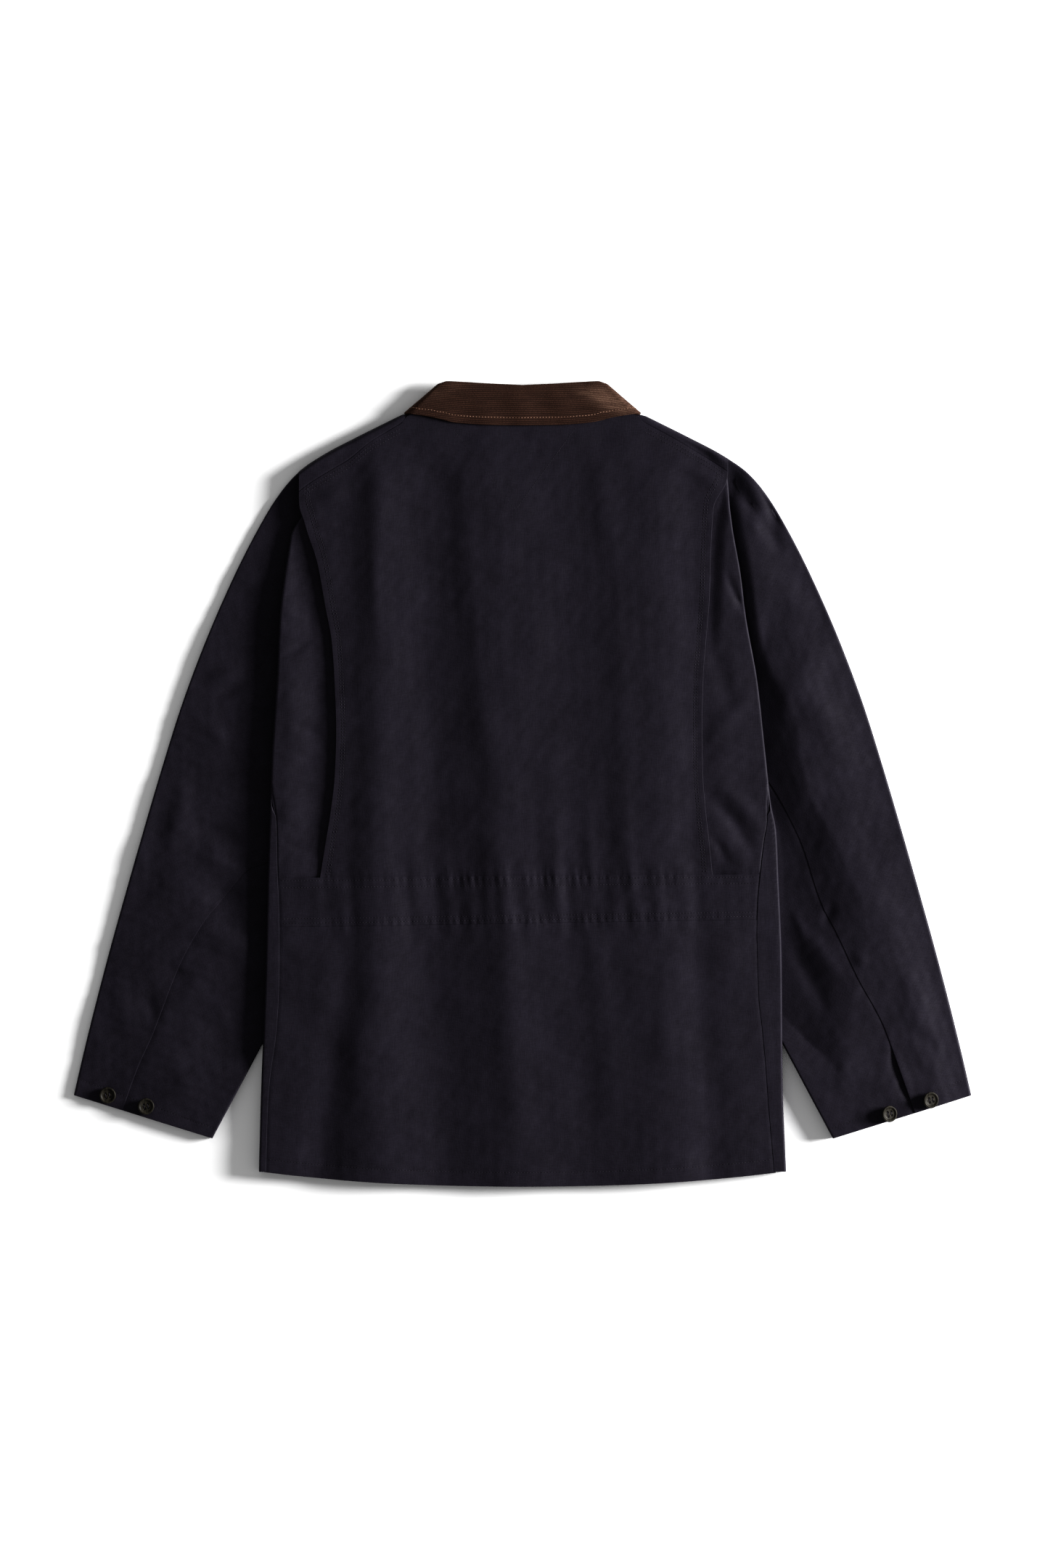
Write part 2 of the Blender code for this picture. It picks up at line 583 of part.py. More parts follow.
def hole_cutter(name, x, y, base):
    drill = bmesh.new()
    spacing = 1.9
    for dx in (-spacing, spacing):
        for dy in (-spacing, spacing):
            made = bmesh.ops.create_cone(
                drill, cap_ends=True, segments=6, depth=4 * BUTTON_THICK * MM,
                radius1=BUTTON_HOLE_R * MM, radius2=BUTTON_HOLE_R * MM,
            )
            bmesh.ops.translate(drill, verts=made["verts"], vec=(dx * MM, dy * MM, 0.0))
    mesh = bpy.data.meshes.new(name + "_holes")
    drill.to_mesh(mesh)
    drill.free()
    cutter = bpy.data.objects.new(name + "_holes", mesh)
    cutter.location = (x * MM, y * MM, base * MM)
    cutter.hide_render = True
    cutter.display_type = "WIRE"
    cutters.objects.link(cutter)
    return cutter


def button_level(side, x, y):
    """Highest middle of the sleeve's upper wall under a button, found over the patch near the cuff."""
    along, across = np.meshgrid(np.linspace(0.85, 1.0, 61), np.linspace(0.0, 1.0, 141))
    px, py = sleeve_plan(side, along, across)
    level = sleeve_level(side, along, across, px, py)
    near = np.hypot(px - x, py - y) < BUTTON_R + 1.0
    return float(level[near].max())


for old in list(bpy.data.objects):
    bpy.data.objects.remove(old)
collection = bpy.data.collections.new("Waxed cotton jacket")
cutters = bpy.data.collections.new("Cutters")
for made in (collection, cutters):
    bpy.context.scene.collection.children.link(made)

front_shares = sorted(FRONT_SHARES + neck_shares())
back_shares = sorted(BACK_SHARES + neck_shares() + tuple(-share for share in neck_shares()))
for word, side in (("left", -1), ("right", 1)):
    cloth(f"front_{word}", front(side), front_shares, FRONT_ROWS)
    cloth(f"back_side_{word}", back_side(side), PLEAT_SHARES, PLEAT_ROWS)
    cloth(f"sleeve_{word}_top", sleeve(side, True), TOP_SLEEVE_SHARES, SLEEVE_ROWS)
    cloth(f"sleeve_{word}_under", sleeve(side, False), UNDER_SLEEVE_SHARES, SLEEVE_ROWS)
cloth("back_panel", back_panel, back_shares, even(14))
cloth("waistband", across_back(lambda x: waist_low_y(x) + GAP / 2, lambda x: waist_top_y(x) - GAP / 2),
      even(36), even(2))
skirt_rows = [(y - SIDE_HEM_Y) / (WAIST_LOW_Y - SIDE_HEM_Y) for y in FRONT_ROWS if y <= WAIST_LOW_Y]
cloth("back_skirt", across_back(hem_y, lambda x: waist_low_y(x) - GAP / 2), even(30), skirt_rows)
cloth("collar_fall", collar(COLLAR_FALL, CORD_WALL, 0.0, WALL / 2 + GAP + CORD_WALL / 2), COLLAR_STATIONS, even(3),
      CORD_WALL, CORDUROY)
cloth("collar_stand", collar(COLLAR_STAND, WALL, CORD_WALL + GAP, -1.3), COLLAR_STATIONS, even(2), WALL, CORDUROY)
for row in BUTTONS:
    button(*row)
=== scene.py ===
"""Looks of a waxed cotton jacket that lies flat on its front, with its back upward.

Each piece of cloth is a grid surface in millimetres, worked out from the tables below with the same
formulas as its solid, with finer folds, puckers and rows of stitches added. +Y points to the collar,
+Z up, and side -1 is the wearer's left.
"""

from math import pi, radians

import bmesh
import bpy
import numpy as np
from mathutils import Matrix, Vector


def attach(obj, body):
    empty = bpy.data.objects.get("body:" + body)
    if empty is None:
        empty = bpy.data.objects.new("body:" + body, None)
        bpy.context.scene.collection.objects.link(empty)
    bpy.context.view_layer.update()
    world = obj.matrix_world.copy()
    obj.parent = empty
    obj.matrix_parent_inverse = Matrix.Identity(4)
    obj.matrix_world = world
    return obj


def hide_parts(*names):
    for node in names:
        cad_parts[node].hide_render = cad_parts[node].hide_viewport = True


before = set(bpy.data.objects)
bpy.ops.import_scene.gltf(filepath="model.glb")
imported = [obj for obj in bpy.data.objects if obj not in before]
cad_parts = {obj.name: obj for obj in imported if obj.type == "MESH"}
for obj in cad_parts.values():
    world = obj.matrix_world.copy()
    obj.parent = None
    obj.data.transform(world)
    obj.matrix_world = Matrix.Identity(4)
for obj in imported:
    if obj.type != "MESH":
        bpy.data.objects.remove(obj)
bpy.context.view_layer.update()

MM = 0.001
GAP = 0.3  # between pieces, at seams and where they lie on each other
WALL = 1.5  # waxed cotton with its seam turnings
CORD_WALL = 2.4  # corduroy, two plies

HEM_Y = -410.0  # at the centre back
HEM_RISE = 15.0  # of the hem's corners over its centre
HEM_HALF, HEM_BOW = 265.0, 2.3  # half its width, and how late it rises: 1 is a straight slope
WAIST_TOP_Y, WAIST_TOP_TILT = -93.5, 0.0075  # seam between the back and the casing
WAIST_LOW_Y, WAIST_LOW_TILT = -142.0, 0.016  # seam between the casing and the skirt
PLEAT_TUCK = 24.0  # how far the pleat layer runs in under the overlay
FRONT_LAP = 20.0  # each front past the centre

SIDE_REACH, SIDE_TURN = 5.0, 20.0  # the fold at the body's side: how far out, and cloth it takes up
SHOULDER_REACH, SHOULDER_TURN = 4.0, 16.0
SLEEVE_REACH, SLEEVE_TURN = 6.0, 17.0
INNER_REACH, INNER_TURN = 2.5, 8.0
PLEAT_REACH, PLEAT_TURN, PLEAT_DROP = 2.0, 6.0, 2.7  # lip of the pleat layer over the sleeve
PLEAT_FLOOR = 9.9  # lowest that the pleat layer lies
PLEAT_STEP = {-1: 2.2, 1: 0.6}  # how far it lies lower beside the overlay than under it
PLEAT_LIFT, PLEAT_HOLLOW = 4.4, 3.0  # rise of the left one's outer edge, and dip beside the right overlay

NECK_EASE = 1.0  # more room at the neck end of the shoulder seam
HEAD_GAP = 2.2  # between the fronts and the sleeve's head, on the hidden under side
STRIP_LEVEL = 2.9  # upper wall of the sleeve where the body presses it flat
TUCK_LEVEL = {-1: 3.2, 1: 4.9}  # upper wall of the sleeves under the pleat layer
PRESSED_WIDTH = 28.0  # of that flat strip, from the inner fold
SIDE_LIFT = 4.4  # rise of the fronts over that strip
LEAF_LIFT = CORD_WALL + 2 * GAP  # rise of the fronts over the collar's leaves
LEAF_SLOPE = 0.49  # of the leaf's edge from the collar's point
STAND_DROP = -1.3  # of the stand's middle from the back's level, under the fall

BUTTON_R, BUTTON_THICK, BUTTON_HOLE_R = 8.4, 3.0, 1.0

SIDE_HEM_Y, SHOULDER_END_Y = -395.0, 303.0  # the hem at the sides, and the outer end of the shoulder seam
FOLD_ROW, SIDE_FOLD_U = 315.0, 0.8  # grid lines of the fronts where they turn over the shoulder and the side
WRAP_TOP = 60.0  # the fronts wrap round the sides below this height
FOLD_BEND, LIP_BEND = 0.15, 0.4  # of the sides' and sleeves' folds and of the pleat layer's lip, see turn
LIP_ROOM = 2.6  # how far the fronts draw in under the foot of that lip
NECK_END, SHOULDER_START = 118.5, 122.0  # how far out the neck edge ends and the whole shoulder starts
FOLD_START = 110.0  # the fronts turn over the shoulder from here, under the collar
HEAD_TUCK, HEAD_DROP = 0.009, 1.5  # share of the sleeve that runs in under the body at its head, and its dip

# Outer line of the laid jacket, over the shoulder and down the sleeve
ARM_LINE = (  # y, distance from the centre
    (376.0, 122.0),
    (352.5, 169.5),
    (334.5, 203.5),
    (317.0, 228.5),
    (293.0, 249.0),
    (259.0, 269.5),
    (215.0, 292.0),
    (148.0, 321.5),
    (81.5, 346.5),
    (15.0, 367.5),
    (-74.0, 393.5),
    (-185.0, 424.5),
    (-274.0, 447.0),
    (-317.5, 457.0),
)
# Side edge of the body, which lies over the sleeve
BODY_EDGE = (  # y, left, right
    (316.0, 228.0, 213.0),
    (294.0, 230.5, 210.0),
    (267.0, 233.5, 212.5),
    (214.0, 241.5, 221.5),
    (170.0, 246.5, 227.0),
    (105.0, 249.5, 238.5),
    (38.0, 254.0, 246.0),
    (-20.0, 256.5, 252.5),
    (-49.0, 257.5, 258.0),
    (-93.0, 259.0, 260.0),
    (-183.0, 261.0, 263.5),
    (-258.0, 263.5, 264.0),
    (-305.0, 265.5, 264.5),
    (-393.0, 268.0, 268.0),
)
# Free side edges of the back overlay
OVERLAY_EDGE = (  # y, left, right
    (310.0, 228.0, 208.0),
    (295.0, 227.5, 202.0),
    (262.0, 221.0, 195.0),
    (218.0, 209.0, 192.0),
    (172.0, 201.0, 190.5),
    (135.0, 194.5, 187.5),
    (92.0, 191.5, 184.0),
    (48.0, 190.0, 183.0),
    (5.0, 191.5, 183.5),
    (-32.0, 196.0, 186.5),
    (-61.0, 201.0, 190.0),
    (-94.0, 206.5, 193.5),
)
# Cloth of the fronts that shows on the back, from the side edge to the side seam
SIDE_STRIP = (  # y, left, right
    (-3.0, 0.3, 0.3),
    (-23.0, 4.6, 4.2),
    (-38.0, 6.6, 7.2),
    (-55.0, 7.8, 12.0),
    (-95.0, 10.0, 18.5),
    (-121.0, 11.8, 22.0),
    (-161.0, 13.2, 24.5),
    (-216.0, 14.0, 23.5),
    (-250.0, 13.0, 20.0),
    (-300.0, 8.5, 16.0),
    (-334.0, 7.0, 14.5),
    (-394.0, 7.0, 12.0),
)
# The same from the shoulder's outline down to the shoulder seam
SHOULDER_STRIP = (  # x, left, right
    (124.0, 8.0, 7.0),
    (153.0, 11.0, 8.5),
    (181.0, 19.0, 11.0),
    (205.0, 20.0, 13.0),
    (226.0, 20.0, 15.0),
)
FRONT_NECK = (  # x, y
    (-20.0, 297.0),
    (10.0, 299.0),
    (40.0, 307.0),
    (70.0, 324.0),
    (98.0, 350.0),
    (112.0, 362.0),
    (122.0, 366.0),
)
BACK_NECK = (  # x, y
    (0.0, 376.0),
    (90.0, 377.0),
    (106.0, 377.0),
    (113.0, 375.5),
    (118.5, 373.5),
)
# Front edge of the fronts at the armhole, in from the body's edge
ARMHOLE_INSET = (  # y, inset
    (12.0, 24.0),
    (150.0, 24.0),
    (215.0, 18.5),
    (265.0, 9.0),
    (303.0, 1.5),
)
# Middle of the back's wall over the ground
BACK_LEVEL = (  # y, level
    (410.0, 12.0),
    (350.0, 12.0),
    (280.0, 14.5),
    (180.0, 16.5),
    (40.0, 17.0),
    (-95.0, 16.0),
    (-142.0, 15.5),
    (-250.0, 15.5),
    (-350.0, 14.5),
    (-410.0, 13.5),
)
# Soft folds that hang down the back, ridges and troughs: place at three heights and their rise there
FOLDS = (  # x at the yoke, waist, hem; half width; rise at the yoke, waist, hem
    (-174.0, -172.0, -208.0, 20.0, -1.5, -2.0, -3.0),
    (-148.0, -156.0, -148.0, 30.0, 2.4, 3.8, 3.0),
    (-96.0, -94.0, -78.0, 32.0, -1.9, -3.2, -2.8),
    (-30.0, -14.0, -6.0, 28.0, 1.8, 2.4, 2.4),
    (42.0, 62.0, 70.0, 26.0, -0.6, -0.7, -1.3),
    (130.0, 136.0, 146.0, 40.0, 2.5, 2.4, 2.4),
    (172.0, 178.0, 196.0, 18.0, -1.0, -1.5, -2.0),
)
FOLD_HEIGHTS = (300.0, -120.0, -400.0)  # of the three columns above
SIDE_FALL = (0.3, 1.5)  # how far the back's wall falls towards its left and right side
# Elbow seam, down the sleeve: share of the width in from the outer line
ELBOW_SEAM = (  # along, left, right
    (0.0, 0.90, 0.87),
    (0.2, 0.86, 0.695),
    (0.33, 0.775, 0.61),
    (0.43, 0.63, 0.56),
    (0.51, 0.545, 0.54),
    (0.61, 0.455, 0.50),
    (0.72, 0.408, 0.475),
    (0.84, 0.395, 0.425),
    (0.92, 0.367, 0.42),
    (1.0, 0.352, 0.41),
)
SLEEVE_LEAN = radians(20)  # of a sleeve's length from +Y
FOLD_SHIFT = 1.3  # how fast the weave runs on where the cloth stands upright, against flat cloth
SEAM_STEP, VENT_STEP = 0.25, 2.6  # rise of the elbow seam's upper edge over the lower, and in the open vent
FRONT_SEAM = 0.80  # share of the sleeve's width in from the outer line, on the under side
SLEEVE_INNER_Y = -20.0  # where the inner fold starts, at the foot of the armhole
CREST = {-1: 0.0, 1: 4.0}  # how far the sleeves' cloth stands up past the body's side
OUTER_FALL = {-1: 4.0, 1: -0.6}  # and how far it lies lower at the outer line
# How a sleeve rises from its flat strip beside the body's edge
LEFT_RISE = ((0.35, 4.0, 28.0), (0.65, 30.0, 110.0))  # part of the rise, from and to so far beyond that edge
RIGHT_RISE = (  # y, where it starts beyond that edge, over what distance
    (-260.0, -2.0, 62.0),
    (-200.0, 0.0, 78.0),
    (-160.0, 3.0, 84.0),
    (-120.0, 5.0, 80.0),
    (-80.0, 6.0, 62.0),
    (-40.0, 3.0, 50.0),
    (0.0, -3.0, 42.0),
    (50.0, -5.0, 41.0),
    (85.0, -5.0, 33.0),
    (115.0, -5.0, 22.0),
    (140.0, -5.0, 17.0),
)
STRAIGHT_SHARE = 0.6  # of the right sleeve's rise that is a straight slope; the rest is level at both ends
CUFF_FREE_Y = {-1: -262.0, 1: -228.0}  # below this height the sleeve comes free of the body
# Inner fold of the sleeve where it has left the body's side
INNER_LINE = ((-215.0, 240.5), (-257.0, 261.8), (-361.0, 317.0))  # y, distance from the centre
SLEEVE_LEVEL = ((0.0, 8.6), (0.3, 9.6), (0.7, 9.4), (1.0, 8.2))  # along, middle of the upper wall
SLEEVE_FOLDS = (  # along at the outer line, along at the inner fold, half width, rise
    (0.16, 0.02, 0.030, -1.1),
    (0.27, 0.12, 0.035, 1.2),
    (0.45, 0.36, 0.045, -1.0),
    (0.60, 0.62, 0.050, 1.0),
    (0.80, 0.74, 0.040, -0.8),
)
# Collar from the centre back round the side to its point: its height share is 1 on the back, 0 on the front
COLLAR_FALL = (  # along, free x, free y, fold x, fold y, height share
    (0.00, 0.0, 365.2, 0.0, 406.4, 1.0),
    (0.15, 35.0, 365.6, 34.0, 408.0, 1.0),
    (0.30, 68.0, 368.0, 60.0, 409.6, 1.0),
    (0.42, 96.0, 374.2, 76.5, 410.3, 1.0),
    (0.48, 112.0, 376.6, 83.0, 408.0, 1.0),
    (0.52, 118.5, 377.2, 86.5, 406.0, 0.8),
    (0.55, 120.3, 377.2, 88.0, 404.5, 0.5),
    (0.58, 118.0, 375.0, 87.0, 402.5, 0.22),
    (0.62, 113.0, 368.0, 81.0, 397.0, 0.05),
    (0.68, 102.0, 350.0, 68.0, 386.0, 0.0),
    (0.84, 80.0, 306.0, 34.0, 348.0, 0.0),
    (1.00, 62.0, 268.0, 5.0, 317.0, 0.0),
)
COLLAR_STAND = (  # along, seam x, seam y, fold x, fold y, height share
    (0.00, 0.0, 378.4, 0.0, 403.5, 1.0),
    (0.25, 45.0, 378.6, 44.0, 405.0, 1.0),
    (0.50, 84.0, 378.4, 66.0, 404.5, 1.0),
    (0.60, 98.0, 376.6, 72.0, 401.5, 0.9),
    (0.66, 103.0, 371.0, 76.0, 397.0, 0.55),
    (0.72, 100.0, 363.0, 73.0, 391.5, 0.2),
    (0.80, 88.0, 349.0, 60.0, 375.0, 0.0),
    (0.90, 60.0, 321.5, 34.0, 346.0, 0.0),
    (1.00, 22.0, 305.0, 7.0, 318.0, 0.0),
)
BUTTONS = (  # name, side, x, y, tilt in degrees
    ("button_left_1", -1, 423.1, -317.3, 4.0),
    ("button_left_2", -1, 383.9, -328.4, 6.0),
    ("button_right_1", 1, 415.3, -321.7, 19.0),
    ("button_right_2", 1, 373.1, -335.8, 21.0),
)
# Finer folds that run down the back: each is a soft line through its rows
BACK_LINES = (  # y, x, half width, rise
    ((345.0, -62.0, 13.0, 0.0), (290.0, -60.0, 13.0, 0.9), (140.0, -48.0, 13.0, 0.9),
     (40.0, -36.0, 15.0, 0.9), (-98.0, -28.0, 15.0, 0.8), (-165.0, -18.0, 15.0, 0.9),
     (-290.0, -12.0, 15.0, 0.8), (-350.0, -8.0, 14.0, 0.0)),
    ((335.0, -149.0, 11.0, 0.0), (300.0, -149.0, 11.0, 0.9), (200.0, -150.0, 9.0, 0.9),
     (130.0, -149.0, 9.0, 0.0)),
    ((345.0, 77.0, 13.0, 0.0), (300.0, 79.0, 13.0, 0.8), (200.0, 96.0, 13.0, 0.6), (0.0, 103.0, 12.0, 0.8),
     (-98.0, 104.0, 10.0, 0.9), (-140.0, 100.0, 10.0, 0.0)),
    ((-138.0, 70.0, 10.0, 0.0), (-165.0, 74.0, 13.0, 1.0), (-290.0, 84.0, 17.0, 1.1),
     (-360.0, 88.0, 17.0, 0.0)),
    ((-220.0, -170.0, 16.0, 0.0), (-290.0, -173.0, 19.0, 1.3), (-350.0, -178.0, 19.0, 0.0)),
    ((-160.0, -196.0, 14.0, 0.0), (-200.0, -200.0, 14.0, 0.7), (-260.0, -205.0, 14.0, 0.0)),
    ((-180.0, 142.0, 10.0, 0.0), (-240.0, 144.0, 10.0, 0.6), (-310.0, 146.0, 10.0, 0.0)),
    ((80.0, 30.0, 14.0, 0.0), (0.0, 30.0, 14.0, 0.7), (-98.0, 34.0, 10.0, 1.0), (-140.0, 33.0, 10.0, 0.0)),
    ((0.0, 66.0, 8.0, 0.0), (-60.0, 68.0, 8.0, 0.7), (-98.0, 70.0, 7.0, 1.1), (-160.0, 66.0, 8.0, 0.0)),
    ((260.0, 12.0, 18.0, 0.0), (180.0, 10.0, 18.0, 0.8), (60.0, 4.0, 16.0, 0.0)),
    ((120.0, -112.0, 15.0, 0.0), (20.0, -110.0, 15.0, 0.9), (-98.0, -108.0, 12.0, 0.7),
     (-150.0, -106.0, 12.0, 0.0)),
)
# Creases: both ends, half width, rise, and how far the middle bows out
BACK_CREASES = (  # x, y, x, y, half width, rise, bow
    (186.0, -8.0, 238.0, -78.0, 7.0, -1.5, -5.0),
    (196.0, 2.0, 246.0, -52.0, 8.0, 1.4, -4.0),
    (188.0, -44.0, 214.0, -86.0, 5.0, -1.0, 0.0),
    (186.0, 44.0, 242.0, 92.0, 9.0, 1.3, -3.0),
    (206.0, 222.0, 230.0, 168.0, 4.0, -1.1, 2.0),
    (215.0, 190.0, 233.0, 178.0, 3.0, -0.8, 0.0),
    (196.0, 150.0, 216.0, 70.0, 9.0, -1.0, 3.0),
    (-250.0, 128.0, -212.0, 148.0, 4.0, -0.9, 1.0),
    (-248.0, 178.0, -218.0, 166.0, 6.0, 0.8, 1.0),
    (-236.0, 60.0, -200.0, 48.0, 5.0, -0.8, -1.0),
    (-252.0, -30.0, -214.0, -22.0, 6.0, 0.8, 2.0),
    (-246.0, -58.0, -215.0, -66.0, 5.0, -0.8, 2.0),
    (-238.0, 12.0, -204.0, 30.0, 7.0, -0.6, 0.0),
    (188.0, 346.0, 214.0, 322.0, 5.0, 1.2, 1.0),
    (158.0, 352.0, 206.0, 318.0, 4.0, -0.9, -2.0),
    (150.0, 330.0, 206.0, 300.0, 7.0, 0.8, -2.0),
    (-176.0, 300.0, -206.0, 285.0, 7.0, 0.8, 2.0),
    (-118.0, 352.0, -60.0, 330.0, 12.0, 0.7, 3.0),
    (176.0, -176.0, 240.0, -166.0, 9.0, 0.9, 2.0),
    (-252.0, -172.0, -226.0, -184.0, 6.0, -0.5, 0.0),
)
LEFT_SLEEVE_CREASES = (  # distance from the centre, y, twice; half width, rise, bow
    (342.0, 16.0, 362.0, -70.0, 9.0, 1.0, 2.0),
    (360.0, 0.0, 390.0, -120.0, 14.0, -0.9, 2.0),
    (316.0, 84.0, 276.0, 104.0, 5.0, -1.5, 2.0),
    (324.0, 100.0, 284.0, 116.0, 6.0, 1.3, 2.0),
    (340.0, -48.0, 280.0, -62.0, 10.0, -2.0, 4.0),
    (334.0, -74.0, 286.0, -92.0, 9.0, 1.4, 3.0),
    (326.0, -112.0, 282.0, -118.0, 10.0, -1.5, 2.0),
    (330.0, -152.0, 276.0, -172.0, 12.0, 1.8, 4.0),
    (376.0, -176.0, 340.0, -212.0, 12.0, -1.4, 3.0),
    (390.0, -214.0, 372.0, -246.0, 7.0, -1.0, 2.0),
    (318.0, -222.0, 296.0, -262.0, 9.0, 0.9, 2.0),
    (306.0, 200.0, 268.0, 214.0, 10.0, 1.1, 2.0),
    (330.0, 60.0, 300.0, 40.0, 8.0, 0.9, 2.0),
    (420.0, -196.0, 402.0, -262.0, 12.0, 0.9, 2.0),
    (362.0, -262.0, 340.0, -330.0, 11.0, 0.9, 2.0),
)
RIGHT_SLEEVE_CREASES = (
    (262.0, 122.0, 330.0, 42.0, 16.0, 1.6, 3.0),
    (336.0, 14.0, 372.0, -120.0, 14.0, -1.1, 4.0),
    (206.0, 322.0, 244.0, 272.0, 7.0, -3.4, 4.0),
    (224.0, 322.0, 256.0, 276.0, 7.0, 1.8, 3.0),
    (240.0, 300.0, 262.0, 258.0, 5.0, -2.0, -2.0),
    (243.0, 268.0, 266.0, 232.0, 6.0, -1.6, -2.0),
    (232.0, 282.0, 238.0, 250.0, 6.0, 1.2, 0.0),
    (222.0, 226.0, 240.0, 214.0, 5.0, -1.0, 0.0),
    (262.0, 214.0, 290.0, 168.0, 12.0, 1.0, 3.0),
    (264.0, -158.0, 312.0, -238.0, 9.0, -1.8, -5.0),
    (274.0, -140.0, 330.0, -208.0, 10.0, 1.6, -4.0),
    (270.0, -122.0, 290.0, -158.0, 4.0, 0.8, 0.0),
    (318.0, -120.0, 306.0, -146.0, 5.0, -0.9, 0.0),
    (336.0, -170.0, 352.0, -186.0, 6.0, 0.8, 0.0),
    (340.0, -262.0, 324.0, -318.0, 10.0, 1.0, 3.0),
    (398.0, -252.0, 424.0, -268.0, 7.0, -0.9, 2.0),
    (390.0, -176.0, 416.0, -262.0, 14.0, 1.0, 3.0),
)
LINE_DEPTH, CREASE_DEPTH = 1.2, 1.25  # how much deeper all of them are than their tables say
GATHERS = (  # x, strength of the gathering along the casing
    (-240.0, 0.1), (-180.0, 0.45), (-120.0, 0.7), (-60.0, 1.0),
    (60.0, 1.0), (120.0, 0.85), (180.0, 0.45), (240.0, 0.15),
)
# Puckers of the gathering all over the casing, at its upper seam and at its lower one: depth, pitch, seed
GATHER_WAVES = ((0.5, 17.0, 4), (0.42, 6.5, 5), (0.36, 6.0, 6))
HEM_PUCKER, HEM_ROW_UP = 0.12, 14.0  # depth of the puckers along the hem's row, and its height over the hem
# Fine unevenness of the cloth: depth, seed, longest and shortest wave
BACK_FINE = ((0.25, 3, 80.0, 34.0), (0.12, 5, 26.0, 11.0))
SLEEVE_FINE = ((0.26, 11, 80.0, 30.0), (0.13, 21, 26.0, 10.0))
FINE_COUNT = 30  # waves in each

# At a seam: how far the lower edge runs on under the upper one, how deep, and over what run it dips
TUCK_IN, TUCK_DIP, TUCK_RUN = 2.2, 0.55, 0.8

# Sewing
THREAD_R, THREAD_LIFT = 0.28, 0.04
CUFF_THREAD_R, HEM_THREAD_R, COLLAR_THREAD_R, BUTTON_THREAD_R = 0.2, 0.22, 0.4, 0.4
STITCH_PITCH, STITCH_LENGTH = 3.1, 2.4
SIDES = 5  # of a bead of thread
GROOVE, GROOVE_HALF = 0.10, 0.8  # how far a row of stitches draws the cloth in, and over what half width
PANEL_ROWS = (-1 + 0.032, -1 + 0.047, 1 - 0.047, 1 - 0.032)  # shares across the overlay
BAND_ROWS = (0.075, 0.165, 1 - 0.2, 1 - 0.06)  # shares up the casing
HEM_ROW, CUFF_ROW, COLLAR_ROW = 0.054, 1 - 0.0268, 0.18
# Where rows start and end: up the overlay, and across the casing, skirt, cuff and collar
PANEL_ENDS, BAND_ENDS, HEM_ENDS = (0.004, 0.985), (0.006, 0.994), (0.004, 0.996)
CUFF_ENDS, COLLAR_ENDS = (1.7, 2.97), (-0.56, 0.56)
YOKE_INSETS, YOKE_LONG = (4.0, 8.0), 410.0  # two rows below the shoulder seams, and the overlay's length
YOKE_START, YOKE_END = 125.0, 0.985  # of those rows: mm out, and share out
LINING_LINES = (  # stitched V below the collar: x, y, twice, and the thread's radius
    (54.2, 363.0, -6.5, 280.0, 0.2),
    (-72.0, 363.0, -6.5, 278.0, 0.13),
)
LINING_PITCH = STITCH_LENGTH + 0.15
PATH_COUNT = 900  # of points along a row
SMALL_STEP = 1e-4

# Grids of the cloth, as stretches: first and last grid line, length of cloth between them, pitch
FRONT_ACROSS = ((-1, SIDE_FOLD_U, 270, 5.0), (SIDE_FOLD_U, 1, 40, 0.9))
FRONT_ALONG = ((SIDE_HEM_Y, FOLD_ROW, 710, 5.2), (FOLD_ROW, FOLD_ROW + 1, 34, 1.3))
PLEAT_ACROSS = ((0, 0.86, 66, 2.6), (0.86, 1, 10, 0.6))
PLEAT_ALONG = ((WAIST_TOP_Y - TUCK_IN, 312, 408, 2.4),)
TOP_ACROSS = ((0, 1, 150, 9.0), (1, 2, 17, 0.8), (2, 3, 120, 2.8))
UNDER_ACROSS = ((0, 1, 60, 7.0), (1, 2, 8, 1.0), (2, 3, 120, 2.8))
SLEEVE_LONG = 655.0
SLEEVE_ALONG = ((0, 1, SLEEVE_LONG, 3.3),)
PANEL_HALF, PANEL_LONG = 200.0, 465.0
PANEL_ACROSS, PANEL_ALONG = ((-1, 1, 420, 2.85),), ((-TUCK_IN / PANEL_LONG, 1, 467, 2.85),)
BAND_WIDE, BAND_LONG = 490.0, 48.0
BAND_ACROSS = ((-TUCK_IN / BAND_WIDE, 1 + TUCK_IN / BAND_WIDE, 494, 1.9),)
BAND_ALONG = ((0, 1, BAND_LONG, 3.0),)
SKIRT_WIDE, SKIRT_LONG = 517.0, 262.0
SKIRT_ACROSS = ((-TUCK_IN / SKIRT_WIDE, 1 + TUCK_IN / SKIRT_WIDE, 521, 3.0),)
SKIRT_ALONG = ((0, 1 + TUCK_IN / SKIRT_LONG, 264, 3.0),)
COLLAR_CORNER_U = 0.62  # where the collar has left the back
LEAF_COLUMNS, FALL_COLUMNS, STAND_COLUMNS = 26, 161, 121  # of each leaf, the fall on the back, the stand
FALL_ALONG, STAND_ALONG = ((0, 1, 44, 0.42),), ((0, 1, 30, 3.0),)
RIM_LINES, RIM_SHARP = np.array([0.1, 0.25, 0.6]), 4.0  # mm in from a rim, and how soon its round is over
RIM_LEAST = 0.3  # share of the wall's half thickness left at the very rim
ROW_LINES = np.array([-1.1, -0.5, 0.0, 0.5, 1.1])  # mm about a row of stitches

